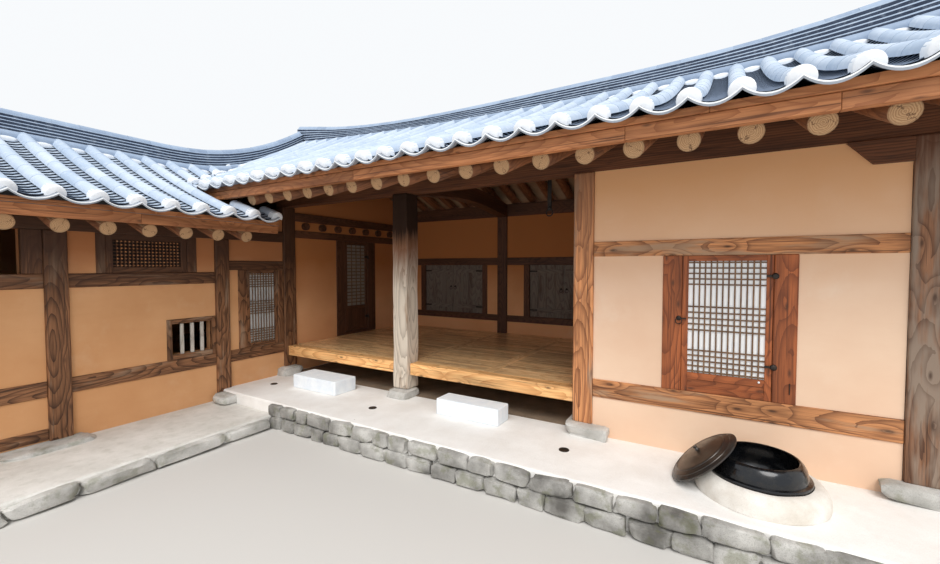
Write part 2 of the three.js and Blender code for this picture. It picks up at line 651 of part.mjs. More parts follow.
add('back_frame', timber, join(
  frame(backPosts),
  frame(backRails),
  alongX(beamProfile(BACK_BEAM_Y), [OUTER_FACE_X + 160, BEAM_END_X]),
));
['back_wall_left', 'back_wall_middle', 'back_wall_right'].forEach((name, i) => {
  const panel = box(bayX(i), backWallY, [MAIN_PLATFORM_TOP, POST_TOP]);
  const hole = i < 2 ? [box([SHUTTERS[i][0], SHUTTERS[i][1]], [2900, 3300], SHUTTER_Z)] : [];
  add(name, plaster, cut(panel, frame(backRails, GAP), hole));
});
['shutters_left', 'shutters_right'].forEach((name, i) => {
  const [x0, x1] = SHUTTERS[i];
  const boards = box([x0 + GAP, x1 - GAP], [3030, 3070], [SHUTTER_Z[0] + GAP, SHUTTER_Z[1] - GAP]);
  const seam = (x0 + x1) / 2;
  add(name, timber, cut(boards, box([seam - 3, seam + 3], [3000, 3040], [600, 1700])));
});

// Wing, court side: one plaster wall behind a timber frame let into its face
const courtFrameX = [COURT_FACE_X - LET_IN, COURT_FACE_X + FRAME_PROUD];
const courtPostX = [COURT_FACE_X - 80, COURT_POST_FACE_X];
const courtJambX = [COURT_FACE_X - LET_IN + 3, COURT_FACE_X + FRAME_PROUD - 3];
const courtPostY = COURT_POST_Y.map((y) => [y - COURT_POST / 2, y + COURT_POST / 2]);
const baysY = [
  [courtPostY[0][1], -GAP],
  [courtPostY[1][1], courtPostY[0][0]],
  [courtPostY[2][1], courtPostY[1][0]],
];
const LATTICE = { y: [-600, -90], z: [409, 1550] };
const UPPER = { y: [-2250, -1400], z: [1524, 1980] };
const SLATS = { y: [-1597, -1105], z: [469 + GAP, 866] };
const OPEN = { y: [-3830, -2930], z: [1524, 1980] };
// The beam and the open window's two posts are timbers of their own, so that the gap stays open
const courtHead = COURT_BEAM[0] - GAP;
const courtBeam = [[COURT_FACE_X - 77, COURT_FACE_X + 30], [WING_END_Y, -GAP], COURT_BEAM];
const openPosts = {
  open_window_post_left: [courtJambX, [OPEN.y[0] - 90, OPEN.y[0]], [1524 + GAP, courtHead]],
  open_window_post_right: [courtJambX, [OPEN.y[1], courtPostY[1][0] - GAP], [1524 + GAP, courtHead]],
};
const courtBars = [
  ...courtPostY.map((y, i) => [courtPostX, y, [COURT_FOOT[i], courtHead]]),
  [courtFrameX, [baysY[0][0] - 1, baysY[0][1]], [246, 409]],
  [courtFrameX, [baysY[0][0] - 1, baysY[0][1]], [1550, 1683]],
  [courtJambX, [LATTICE.y[0] - 129, LATTICE.y[0]], [408, 1551]],
  [courtJambX, [LATTICE.y[1], baysY[0][1] - 2], [408, 1551]],
  [courtFrameX, [baysY[1][0] - 1, baysY[1][1] + 1], [246, 409]],
  [courtFrameX, [baysY[1][0] - 1, baysY[1][1] + 1], [1373, 1524]],
  [courtJambX, [UPPER.y[0] - 90, UPPER.y[0]], [1523, courtHead]],
  [courtJambX, [UPPER.y[1], UPPER.y[1] + 115], [1523, courtHead]],
  [courtFrameX, [baysY[2][0] - 1, baysY[2][1] + 1], [246, 409]],
  [courtFrameX, [baysY[2][0] - 1, baysY[2][1] + 1], [1373, 1524]],
];
const sill = [courtFrameX, [baysY[2][0] - 1, baysY[2][1] + 1], [-200, -85]];
const slatBars = [
  [courtFrameX, [SLATS.y[0] - 60, SLATS.y[0]], [SLATS.z[0] - 60, SLATS.z[1] + 60]],
  [courtFrameX, [SLATS.y[1], courtPostY[0][0] - GAP], [SLATS.z[0] - 60, SLATS.z[1] + 60]],
  [courtFrameX, [SLATS.y[0] - 1, SLATS.y[1] + 1], [SLATS.z[0] - 60, SLATS.z[0]]],
  [courtFrameX, [SLATS.y[0] - 1, SLATS.y[1] + 1], [SLATS.z[1], SLATS.z[1] + 60]],
  ...[1, 2, 3].map((n) => {
    const y = mix(SLATS.y[0], SLATS.y[1], n / 4);
    return [[COURT_FACE_X - 30, COURT_FACE_X], [y - 22, y + 22], [SLATS.z[0] - 1, SLATS.z[1] + 1]];
  }),
];
const courtWallTop = wingDeckTop(COURT_FACE_X, WING_END_Y) - WING_RAFTER_DEPTH - GAP;
const courtProfile = [
  [WING_END_Y, WING_PLATFORM_TOP], [PLATFORM_FRONT_Y, WING_PLATFORM_TOP],
  [PLATFORM_FRONT_Y, MAIN_PLATFORM_TOP], [-GAP, MAIN_PLATFORM_TOP],
  [-GAP, 2440], [-580, 2440], [-580, courtWallTop], [WING_END_Y, courtWallTop],
];
add('wing_court_wall', plaster, cut(
  alongX(courtProfile, wallX),
  frame([...courtBars, courtBeam, ...Object.values(openPosts), sill], GAP),
  frame(slatBars, GAP),
  box([-6300, -5900], LATTICE.y, LATTICE.z),
  box([-6300, -5900], UPPER.y, UPPER.z),
  box([-6300, -5900], SLATS.y, SLATS.z),
  box([-6300, -5900], OPEN.y, OPEN.z),
  frame(courtFootStones, GAP),
));
add('wing_court_frame', timber, join(frame(courtBars), cut(box(...sill), frame(courtFootStones, GAP))));
add('wing_court_beam', timber, box(...courtBeam));
Object.entries(openPosts).forEach(([name, post]) => add(name, timber, box(...post)));
add('wing_slat_window', timber, frame(slatBars));
add('wing_lattice_window', timber, leaf({
  across: [LATTICE.y[0] + GAP, LATTICE.y[1] - GAP],
  up: [LATTICE.z[0] + GAP, LATTICE.z[1] - GAP],
  depth: [COURT_FACE_X - 45, COURT_FACE_X - 5],
  stile: 55,
  rails: [],
  axis: 'y',
}));
add('wing_upper_window', timber, leaf({
  across: [UPPER.y[0] + GAP, UPPER.y[1] - GAP],
  up: [UPPER.z[0] + GAP, UPPER.z[1] - GAP],
  depth: [COURT_FACE_X - 45, COURT_FACE_X - 5],
  stile: 70,
  rails: [],
  axis: 'y',
}));

// Wing, outer sides: plaster wall round the end, the long side and the back, with its frame
const outerX = [OUTER_FACE_X, OUTER_FACE_X + WALL];
const outerUnder = (y) => {
  const curved = clamp((y - SWEEP_START_Y) / 1500);
  return wingDeckTop(outerX[0], y) - WING_RAFTER_DEPTH - GAP - 60 * curved;
};
const outerTop = range(WING_END_Y, 3000, 12).map((y) => [y, outerUnder(y)]);
const longWall = alongX([
  [WING_END_Y, WING_PLATFORM_TOP], [backWallY[1], WING_PLATFORM_TOP], [backWallY[1], 2400],
  ...[...outerTop].reverse(),
], outerX);
const wingUnder = (x) => [x, wingDeckTop(x, WING_END_Y) - WING_RAFTER_DEPTH - GAP];
const endPeak = [outerX[0], WING_X, wallX[0]].map(wingUnder);
const endWall = alongY([
  [outerX[0], WING_PLATFORM_TOP], [wallX[0] - GAP, WING_PLATFORM_TOP], ...[...endPeak].reverse(),
], [WING_END_Y, WING_END_Y + WALL]);
const backEndX = [outerX[0], POST_X[0] - BACK_POST / 2 - GAP];
const backEnd = join(
  box([outerX[0], PLATFORM_SPLIT_X - GAP], backWallY, [WING_PLATFORM_TOP, 2400]),
  box(backEndX, backWallY, [MAIN_PLATFORM_TOP, 2400]),
  box([outerX[1] + 200, backEndX[1]], backWallY, [2390, POST_TOP]),
);
const outerFrameX = [outerX[0] - 20, outerX[0] + LET_IN];
const endFrameY = [WING_END_Y - 20, WING_END_Y + LET_IN];
const backFrameY = [backWallY[1] - LET_IN, backWallY[1] + 20];
const outerRailZ = [[246, 409], [1373, 1524]];
const outerLength = [WING_END_Y - 20, backWallY[1] + 20];
const outerBars = [
  ...outerRailZ.map((z) => [outerFrameX, outerLength, z]),
  ...outerRailZ.map((z) => [[outerFrameX[0], wallX[0] - 1], endFrameY, z]),
  ...outerRailZ.map((z) => [[outerFrameX[0], backEndX[1]], backFrameY, z]),
  ...OUTER_POST_Y.map((y) => (
    [outerFrameX, [y - COURT_POST / 2, y + COURT_POST / 2], [WING_PLATFORM_TOP, outerUnder(y) - 140]]
  )),
  [outerFrameX, [2900, backFrameY[1]], [WING_PLATFORM_TOP, 2300]],
  [[outerFrameX[0], outerX[0] + 190], backFrameY, [WING_PLATFORM_TOP, 2300]],
  [[outerFrameX[0], outerX[0] + 170], endFrameY, [WING_PLATFORM_TOP, COURT_BEAM[0]]],
  [[outerFrameX[0], wallX[0] - 1], endFrameY, COURT_BEAM],
  [[WING_X - COURT_POST / 2, WING_X + COURT_POST / 2], endFrameY, [WING_PLATFORM_TOP, 2660]],
];
add('wing_outer_wall', plaster, cut(
  join(longWall, endWall, backEnd),
  frame(outerBars, GAP),
  box([PLATFORM_SPLIT_X - GAP, backEndX[1] + 5], [3000, 3300], [-300, MAIN_PLATFORM_TOP]),
));
add('wing_outer_frame', timber, frame(outerBars));

// Rafters with the clay deck they carry. Each deck's front edge is the eave board
function deckRows(list) {
  return list.map(([along, top]) => along.map(([x, y]) => [x, y, top(x, y) - DECK, top(x, y)]));
}
const MAIN_RAFTER_X = [2190, ...range(1905, 1905 - 31 * MAIN_RAFTER_STEP, 31)];
const deckEnds = { right: VERGE_X - VERGE_INSET, south: VERGE_Y + VERGE_INSET };
const mainDeckY = [PLATFORM_FRONT_Y - 60, -700, VALLEY_HEAD_Y, 900, MAIN_RIDGE_Y];
const mainFrontDeck = sheet(deckRows(mainDeckY.map((y) => [
  range(valleyX(y) + 20, deckEnds.right, 2).map((x) => [x, y]),
  (x, yy) => mainDeckTop(yy),
])));
const backDeckY = [MAIN_RIDGE_Y, 2400, 3300, MAIN_RIDGE_Y + MAIN_DECK_HALF];
const hipX = (y) => WING_X - (y - MAIN_RIDGE_Y) * (WING_HALF / MAIN_HALF);
const mainBackDeck = sheet(deckRows(backDeckY.map((y) => [
  range(hipX(y) + 2, deckEnds.right, 2).map((x) => [x, y]),
  (x, yy) => mainDeckTop(yy),
])));
const rafterLine = (y) => mainDeckTop(y) - DECK - RAFTER_R * LET_INTO_DECK;
const RAFTER_OUT = 50;
const frontRafters = MAIN_RAFTER_X.filter((x) => x > -5950).map((x) => {
  const foot = x > -5300 ? PLATFORM_FRONT_Y : -450;
  return roundTimber(
    new THREE.Vector3(x, foot - 5, rafterLine(foot - 5)),
    new THREE.Vector3(x, MAIN_RIDGE_Y, rafterLine(MAIN_RIDGE_Y)),
    RAFTER_R,
  );
});
const backFoot = MAIN_RIDGE_Y + MAIN_DECK_HALF - RAFTER_OUT;
const backRafters = MAIN_RAFTER_X.filter((x) => x > -9300).map((x) => {
  const head = Math.max(MAIN_RIDGE_Y, hipY(x) + 120);
  return [x, head];
}).filter(([, head]) => head < backFoot - 300).map(([x, head]) => roundTimber(
  new THREE.Vector3(x, backFoot, rafterLine(backFoot)),
  new THREE.Vector3(x, head, rafterLine(head)),
  RAFTER_R,
));
add('main_rafters', timber, join(mainFrontDeck, mainBackDeck, frontRafters, backRafters));

// The wing's court slope ends at the valley, and under the main eave beside the corner post
const wingBound = (x) => {
  if (x < VALLEY_FOOT[0]) {
    return valleyY(x);
  }
  return x < -5700 ? VALLEY_FOOT[1] : mix(VALLEY_FOOT[1], -600, clamp((x + 5700) / 300));
};
const courtRows = [WING_X, -6800, VALLEY_FOOT[0], -5850, -5700, -5550, -5400];
const courtLine = (x, south) => [south, ...range(VERGE_Y, wingBound(x) - GAP, 10).slice(1)];
const wingCourtDeck = sheet(deckRows([...courtRows, WING_X + WING_DECK_HALF].map((x) => [
  courtLine(x, deckEnds.south).map((y) => [x, y]),
  wingDeckTop,
])));
const outerRows = [0, 400, 850, 1300, 1750].map((d) => WING_X - d);
const outerLine = (x, south, margin) => {
  const line = range(VERGE_Y, hipY(x), 18);
  return [south, ...line.slice(1, -1), hipY(x) - margin];
};
const wingOuterDeck = sheet(deckRows([...outerRows, WING_X - WING_DECK_HALF].map((x) => [
  outerLine(x, deckEnds.south, 2).map((y) => [x, y]),
  wingDeckTop,
])));
const wingRafterLine = (x, y) => wingDeckTop(x, y) - DECK - WING_RAFTER_R * LET_INTO_DECK;
const WING_RAFTER_Y = range(-4996, -4996 + 25 * WING_RAFTER_STEP, 25);
const courtRafters = WING_RAFTER_Y.filter((y) => y < -700).map((y) => {
  const foot = WING_X + WING_DECK_HALF - RAFTER_OUT;
  return roundTimber(
    new THREE.Vector3(foot, y, wingRafterLine(foot, y)),
    new THREE.Vector3(WING_X + 1, y, wingRafterLine(WING_X + 1, y)),
    WING_RAFTER_R,
  );
});
const outerRafters = WING_RAFTER_Y.map((y) => {
  const foot = WING_X - WING_DECK_HALF + RAFTER_OUT;
  const head = y < MAIN_RIDGE_Y ? WING_X : hipX(y) - 120;
  return [y, foot, head];
}).filter(([, foot, head]) => head > foot + 300).map(([y, foot, head]) => {
  const ends = [wingRafterLine(foot, y), wingRafterLine(head, y)];
  const hump = (ends[0] + ends[1]) / 2 - wingRafterLine((foot + head) / 2, y);
  return roundTimber(
    new THREE.Vector3(foot, y, ends[0]),
    new THREE.Vector3(head, y, ends[1] - 1.2 * hump),
    WING_RAFTER_R,
  );
});
add('wing_rafters', timber, cut(
  join(wingCourtDeck, wingOuterDeck, courtRafters, outerRafters),
  box([-9200, BEAM_END_X], BACK_BEAM_Y, [2000, 2775], 2),
));

const RIDGE_WIDTH = 230;

// Tile coats: closed curved bodies from the deck up to the troughs, and on them the rolls of the
// cover tiles. A roll has three faces, and its crown is the roof's full height.
const ROLL_HEIGHT = 60;
const ROLL_HALF = 72;
const ROLL_FORM = [[-ROLL_HALF, 0], [-40, ROLL_HEIGHT], [40, ROLL_HEIGHT], [ROLL_HALF, 0]];
const ROLL_END_GAP = RIDGE_WIDTH / 2 + 2;
const between = (list, from, to) => {
  const inner = list.filter((v) => v > Math.min(from, to) + 40 && v < Math.max(from, to) - 40);
  const sorted = inner.sort((a, b) => (to > from ? a - b : b - a));
  return [from, ...sorted, to];
};
// A roll is drawn along a run. spot gives the plan position for a place on the run and one across it
const roll = (runs, top, spot) => sheet(runs.map((run) => {
  const crown = top(...spot(run, 0));
  return ROLL_FORM.map(([across, up]) => [
    ...spot(run, across), crown - ROLL_HEIGHT - 25, crown - ROLL_HEIGHT + up,
  ]);
}));
function mainTiles(y) {
  const d = Math.abs(y - MAIN_RIDGE_Y);
  if (d > MAIN_DECK_HALF + 1) {
    return MAIN_LIP;
  }
  return mainDeckTop(y) + GAP;
}
const tileRows = (ys, left) => ys.map((y) => range(left(y), VERGE_X, 12).map((x) => [
  x, y, mainTiles(y), mainTop(x, y) - ROLL_HEIGHT,
]));
const eaveSteps = [MAIN_HALF, MAIN_DECK_HALF + 0.5];
const frontSteps = [...eaveSteps, 2000, MAIN_RIDGE_Y - VALLEY_HEAD_Y, 700, 0].map((d) => MAIN_RIDGE_Y - d);
const backSteps = [...eaveSteps, 1900, 1000, 0].map((d) => MAIN_RIDGE_Y + d);
const mainFrontTiles = sheet(tileRows(frontSteps, (y) => valleyX(y) + GAP));
const mainBackTiles = sheet(tileRows(backSteps, (y) => hipX(y) + GAP));
const mainCoat = join(mainFrontTiles, mainBackTiles);
const MAIN_ROLL_STEP = 290;
const mainRollX = (count) => [VERGE_X - 76, ...range(2101, 2101 - count * MAIN_ROLL_STEP, count)];
const mainRoll = (x, from, to, edges) => (
  roll(between(edges, from, to), mainTop, (y, across) => [x + across, y])
);
const mainRolls = [
  ...mainRollX(32).filter((x) => x > WING_X + 200).map((x) => mainRoll(
    x, x > VALLEY_FOOT[0] ? MAIN_RIDGE_Y - MAIN_HALF : valleyY(x) + 110, MAIN_RIDGE_Y - ROLL_END_GAP,
    frontSteps,
  )),
  ...mainRollX(39).map((x) => mainRoll(
    x, MAIN_RIDGE_Y + MAIN_HALF, Math.max(MAIN_RIDGE_Y + ROLL_END_GAP, hipY(x) + 250),
    backSteps,
  )),
];

function wingTiles(x, y) {
  if (Math.abs(x - WING_X) > WING_DECK_HALF + 1) {
    return WING_LIP + wingDeckTop(x, y) - wingDeckTop(x, VERGE_Y);
  }
  return wingDeckTop(x, y) + GAP;
}
const courtTileX = [...courtRows, WING_X + WING_DECK_HALF + 0.5, WING_X + WING_HALF];
const courtTiles = sheet(courtTileX.map((x) => courtLine(x, VERGE_Y).map((y) => [
  x, y, wingTiles(x, y), wingTop(x, y) - ROLL_HEIGHT,
])));
const outerTileX = [...outerRows, WING_X - WING_DECK_HALF - 0.5, WING_X - WING_HALF];
const outerTiles = sheet(outerTileX.map((x) => outerLine(x, VERGE_Y, GAP).map((y) => [
  x, y, wingTiles(x, y), wingTop(x, y) - ROLL_HEIGHT,
])));
const wingCoat = join(courtTiles, outerTiles);
const WING_ROLL_STEP = 312.6;
const wingRollY = [VERGE_Y + 76, ...range(-707 - 14 * WING_ROLL_STEP, -707 + 15 * WING_ROLL_STEP, 29)];
const wingRoll = (y, from, to, edges) => (
  roll(between(edges, from, to), wingTop, (x, across) => [x, y + across])
);
const wingRolls = [
  ...wingRollY.filter((y) => y < VALLEY_HEAD_Y - 330).map((y) => wingRoll(
    y, y < VALLEY_FOOT[1] ? WING_X + WING_HALF : valleyX(y) - 110, WING_X + ROLL_END_GAP,
    [-6800, VALLEY_FOOT[0], -5700, WING_X + WING_DECK_HALF + 0.5],
  )),
  ...wingRollY.filter((y) => y > VALLEY_FOOT[1] && y < -600).map((y) => wingRoll(
    y, WING_X + WING_HALF, mix(-5400, -5700, (-600 - y) / 650) + 40, [WING_X + WING_DECK_HALF + 0.5],
  )),
  ...wingRollY.map((y) => wingRoll(
    y, WING_X - WING_HALF, Math.min(WING_X - ROLL_END_GAP, hipX(y) - 200), outerTileX,
  )),
];
add('main_roof', tile, join(mainCoat, mainRolls));
add('wing_roof', tile, join(wingCoat, wingRolls));

// Ridges: stacked tile courses, cut to sit on the tile coats
function ridge(name, points, width, seats) {
  add(name, tile, cut(strip(points, width), seats));
}
const bothCoats = join(mainCoat, wingCoat);
const shifts = [[1, 1, GAP], [-1, 1, GAP], [1, -1, GAP], [-1, -1, GAP], [0, 0, 2 * GAP]];
const strip = (points, width) => sheet(points.map(({ at, side, low, top }) => (
  [-1, 1].map((hand) => [
    at.x + side.x * hand * width / 2, at.y + side.y * hand * width / 2, low, top,
  ])
)));
const hipDirection = new THREE.Vector3(-WING_HALF, MAIN_HALF, 0).normalize();
const hipSide = new THREE.Vector3(-hipDirection.y, hipDirection.x, 0);
// The joints between the two coats stay clear of the ridge tiles
const seam = (at, side) => ({ at, side, low: mainTop(at.x, at.y) - 300, top: mainTop(at.x, at.y) + 3 });
const seams = [
  strip(range(0, 1, 30).map((t) => {
    const x = mix(WING_X, WING_X - WING_HALF, t);
    return seam(new THREE.Vector3(x, hipY(x), 0), hipSide);
  }), 4),
  strip(range(VALLEY_HEAD_Y - 10, MAIN_RIDGE_Y + 2, 12).map((y) => (
    seam(new THREE.Vector3(WING_X, y, 0), X)
  )), 4),
];
const coats = join(bothCoats, shifts.map((shift) => bothCoats.translate(shift)), seams);
const RIDGE_LEFT_X = -7520;
const RIDGE_RIGHT_X = VERGE_X - 20;
const mainRidgeTop = (x) => 4100
  + 370 * clamp((RIDGE_LOW_X - x) / (RIDGE_LOW_X - WING_X)) ** 4
  + 360 * clamp((x - RIDGE_LOW_X) / (VERGE_X - RIDGE_LOW_X)) ** 2.5;
ridge('main_ridge', range(RIDGE_LEFT_X, RIDGE_RIGHT_X, 20).map((x) => ({
  at: new THREE.Vector3(x, MAIN_RIDGE_Y, 0),
  side: Y,
  low: mainTop(x, MAIN_RIDGE_Y) - 140,
  top: mainRidgeTop(x),
})), RIDGE_WIDTH, coats);
const wingRidgeTop = (y) => {
  const southTail = 120 * clamp((-2400 - y) / (-2400 - VERGE_Y)) ** 2;
  return wingTop(WING_X, y) + 205 + southTail;
};
const WING_RIDGE_END_Y = MAIN_RIDGE_Y - RIDGE_WIDTH / 2 - GAP;
ridge('wing_ridge', range(VERGE_Y + 20, WING_RIDGE_END_Y, 22).map((y) => ({
  at: new THREE.Vector3(WING_X, y, 0),
  side: X,
  low: wingTop(WING_X, y) - 140,
  top: wingRidgeTop(y),
})), RIDGE_WIDTH, coats);
ridge('hip_ridge', range(0.075, 0.96, 12).map((t) => {
  const x = mix(WING_X, WING_X - WING_HALF, t);
  return {
    at: new THREE.Vector3(x, hipY(x), 0),
    side: hipSide,
    low: mainTop(x, hipY(x)) - 120,
    top: mainTop(x, hipY(x)) + mix(190, 120, t),
  };
}), RIDGE_WIDTH - 30, coats);

// Barge boards at the two gable ends
const BARGE = 40;
const BARGE_DROP = 190;
const bargeY = [MAIN_RIDGE_Y - MAIN_DECK_HALF, MAIN_RIDGE_Y, MAIN_RIDGE_Y + MAIN_DECK_HALF];
add('main_barge_board', timber, alongX([
  ...bargeY.map((y) => [y, mainDeckTop(y) - BARGE_DROP]),
  ...[...bargeY].reverse().map((y) => [y, mainDeckTop(y)]),
], [deckEnds.right, deckEnds.right + BARGE]));
const bargeX = [WING_X - WING_DECK_HALF, WING_X, WING_X + WING_DECK_HALF];
add('wing_barge_board', timber, alongY([
  ...bargeX.map((x) => [x, wingDeckTop(x, VERGE_Y) - BARGE_DROP]),
  ...[...bargeX].reverse().map((x) => [x, wingDeckTop(x, VERGE_Y)]),
], [deckEnds.south - BARGE, deckEnds.south]));

// The origin goes to the middle of the footprint, at ground level
const extent = new THREE.Box3().setFromObject(house);
house.position.set(-(extent.min.x + extent.max.x) / 2, -(extent.min.y + extent.max.y) / 2, -extent.min.z);

export default house;
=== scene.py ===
import math
import random
import bpy
import numpy as np
from mathutils import Matrix, Vector, noise
from mathutils.bvhtree import BVHTree


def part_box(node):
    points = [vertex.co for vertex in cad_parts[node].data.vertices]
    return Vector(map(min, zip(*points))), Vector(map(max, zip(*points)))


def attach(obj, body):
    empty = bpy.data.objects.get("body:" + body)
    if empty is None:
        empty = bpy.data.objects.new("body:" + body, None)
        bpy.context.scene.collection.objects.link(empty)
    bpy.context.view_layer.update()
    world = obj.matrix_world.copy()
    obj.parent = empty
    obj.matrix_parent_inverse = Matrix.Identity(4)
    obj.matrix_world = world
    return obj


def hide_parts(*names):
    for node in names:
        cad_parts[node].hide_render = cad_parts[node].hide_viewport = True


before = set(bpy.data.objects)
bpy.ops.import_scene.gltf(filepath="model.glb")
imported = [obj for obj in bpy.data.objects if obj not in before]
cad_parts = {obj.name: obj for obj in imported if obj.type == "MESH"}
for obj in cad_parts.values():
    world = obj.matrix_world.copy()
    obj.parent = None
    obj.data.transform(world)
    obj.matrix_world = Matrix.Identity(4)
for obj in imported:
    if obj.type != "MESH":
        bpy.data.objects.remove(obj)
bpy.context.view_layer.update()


# The stone platforms that the house stands on: rammed earth and lime on top, faced at the front
# with rows of field stones. The slabs are cut blocks, and each stone is a ball knocked out of shape.
# Places are given from the foot of the front posts, and `at` moves them to the frame.
FEET = Vector((3.7, 0.475, 0.4))
GROUND = -0.4
PLATFORM_TOP = -0.11
PLATFORM_FRONT = -0.985
WING_PLATFORM_TOP = -0.25
chance = random.Random(12)


def at(x, y, z):
    return Vector((x, y, z)) + FEET


def pick_none():
    bpy.ops.object.select_all(action="DESELECT")


def points_of(piece):
    points = np.zeros(len(piece.data.vertices) * 3)
    piece.data.vertices.foreach_get("co", points)
    return points.reshape(-1, 3)


def set_points(piece, points):
    piece.data.vertices.foreach_set("co", np.asarray(points).ravel())
    piece.data.update()


def edit_all():
    """Opens the active piece for editing, with all of it selected."""
    bpy.ops.object.mode_set(mode="EDIT")
    bpy.ops.mesh.select_all(action="SELECT")


def leave_edit():
    bpy.ops.object.mode_set(mode="OBJECT")


def block(low, high, edge=0.006, steps=1):
    """A block between two corners, with its edges taken off."""
    low, high = at(*low), at(*high)
    pick_none()
    bpy.ops.mesh.primitive_cube_add(size=1, location=(low + high) / 2, scale=high - low)
    bpy.ops.object.transform_apply(location=True, rotation=False, scale=True)
    edit_all()
    bpy.ops.mesh.bevel(offset=edge, segments=steps, affect="EDGES")
    leave_edit()
    return bpy.context.object


def pick(*pieces):
    """Selects these pieces alone, the first of them active."""
    pick_none()
    for piece in pieces:
        piece.select_set(True)
    bpy.context.view_layer.objects.active = pieces[0]


def join(pieces):
    """Several pieces become one mesh."""
    pick(*pieces)
    if len(pieces) > 1:
        bpy.ops.object.join()
    return bpy.context.view_layer.objects.active


def settle(piece, name, finishes, body="house", instead_of=()):
    """Names a finished piece, gives it its finish and puts it in its place on the house."""
    piece.name = name
    piece.data.name = name
    if not isinstance(finishes, (list, tuple)):
        finishes = [finishes]
    piece.data.materials.clear()
    for finish in finishes:
        piece.data.materials.append(finish)
    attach(piece, body)
    if instead_of:
        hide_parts(*instead_of)
    return piece


def put(tree, kind, settings=None, **inputs):
    """Adds a node. An input's value is a number, a colour or another node's socket."""
    made = tree.nodes.new(kind)
    for key, value in (settings or {}).items():
        setattr(made, key, value)
    for key, value in inputs.items():
        if key.startswith("i_"):
            socket = made.inputs[int(key[2:])]
        else:
            socket = made.inputs[key.replace("_", " ")]
        if isinstance(value, bpy.types.NodeSocket):
            tree.links.new(value, socket)
        else:
            socket.default_value = (*value, 1.0) if socket.type == "RGBA" else value
    return made


def math_of(tree, operation, first, second=0.0):
    return put(tree, "ShaderNodeMath", {"operation": operation}, i_0=first, i_1=second).outputs[0]


def plus(tree, first, second):
    return math_of(tree, "ADD", first, second)


def times(tree, first, second):
    return math_of(tree, "MULTIPLY", first, second)


def noise_of(tree, place, scale, detail=4.0, roughness=0.55, distortion=0.0):
    return put(
        tree, "ShaderNodeTexNoise", None,
        Vector=place, Scale=scale, Detail=detail, Roughness=roughness, Distortion=distortion,
    ).outputs["Fac"]


def spread(tree, value, low, high, to_low=0.0, to_high=1.0):
    """Spreads the part of a value between low and high over a new range."""
    return put(
        tree, "ShaderNodeMapRange", {"clamp": True},
        Value=value, From_Min=low, From_Max=high, To_Min=to_low, To_Max=to_high,
    ).outputs["Result"]


def mixed(tree, share, first, second, blend="MIX"):
    settings = {"data_type": "RGBA", "blend_type": blend}
    return put(tree, "ShaderNodeMix", settings, i_0=share, i_6=first, i_7=second).outputs[2]


def paint(tree, surface, tone):
    tree.links.new(tone, surface.inputs["Base Color"])


def stretched(tree, place, x, y, z):
    return put(tree, "ShaderNodeMapping", None, Vector=place, Scale=(x, y, z)).outputs[0]


def new_finish(name, roughness=0.8, metallic=0.0):
    """A new material with its node tree and its surface."""
    finish = bpy.data.materials.new(name)
    finish.use_nodes = True
    surface = finish.node_tree.nodes["Principled BSDF"]
    surface.inputs["Roughness"].default_value = roughness
    surface.inputs["Metallic"].default_value = metallic
    return finish, finish.node_tree, surface


def place_on_object(tree):
    return put(tree, "ShaderNodeTexCoord").outputs["Object"]


def attribute_of(tree, name, output="Fac"):
    return put(tree, "ShaderNodeAttribute", {"attribute_name": name}).outputs[output]


def parts_of(tree, vector):
    return put(tree, "ShaderNodeSeparateXYZ", None, Vector=vector).outputs


def raise_surface(tree, surface, height, strength, distance):
    bump = put(tree, "ShaderNodeBump", None, Height=height, Strength=strength, Distance=distance)
    tree.links.new(bump.outputs["Normal"], surface.inputs["Normal"])


def paint_shade_band(tree, tone, axis, low, high, shade, most):
    """Paints shade into a tone between two places along an axis of the house, without a sharp line."""
    place = place_on_object(tree)
    along = plus(tree, parts_of(tree, place)[axis], times(tree, noise_of(tree, place, 2.2), 0.3))
    return mixed(tree, spread(tree, along, low + 0.15, high + 0.15, 0.0, most), tone, shade)


def stony(name, light, dark, spots, moss=0.0, speckle=0.25, rough=0.9, scale=3.0):
    """Stone, lime or clay: clouded, speckled, and mossy in patches."""
    finish, tree, surface = new_finish(name, rough)
    place = place_on_object(tree)
    clouds = spread(tree, noise_of(tree, place, scale, 6.0, 0.6), 0.35, 0.65)
    tone = mixed(tree, clouds, dark, light)
    grit = spread(tree, noise_of(tree, place, 160.0, 3.0, 0.7), 0.5, 0.68, 0.0, speckle)
    tone = mixed(tree, grit, tone, spots)
    if moss:
        growth = spread(tree, noise_of(tree, place, 7.0, 5.0, 0.65), 0.52, 0.62, 0.0, moss)
        tone = mixed(tree, growth, tone, (0.13, 0.14, 0.05))
    paint(tree, surface, tone)
    height = plus(tree, noise_of(tree, place, 26.0, 6.0, 0.65), grit)
    raise_surface(tree, surface, height, 0.35, 0.012)
    return finish


lime_top = stony("lime_and_earth", (0.93, 0.92, 0.90), (0.84, 0.82, 0.79), (0.60, 0.57, 0.52), 0.0, 0.2)
wing_earth = stony("wing_earth", (0.80, 0.785, 0.75), (0.64, 0.625, 0.585), (0.42, 0.40, 0.36), 0.12, 0.3)
field_stone = stony(
    "field_stone", (0.60, 0.59, 0.56), (0.12, 0.115, 0.105), (0.15, 0.14, 0.13), 0.4, 0.5, 0.9, 2.3,
)
kerb_stone = stony(
    "kerb_stone", (0.72, 0.71, 0.68), (0.36, 0.355, 0.33), (0.2, 0.19, 0.17), 0.35, 0.45, 0.9, 2.6,
)


SQUARENESS = 0.36


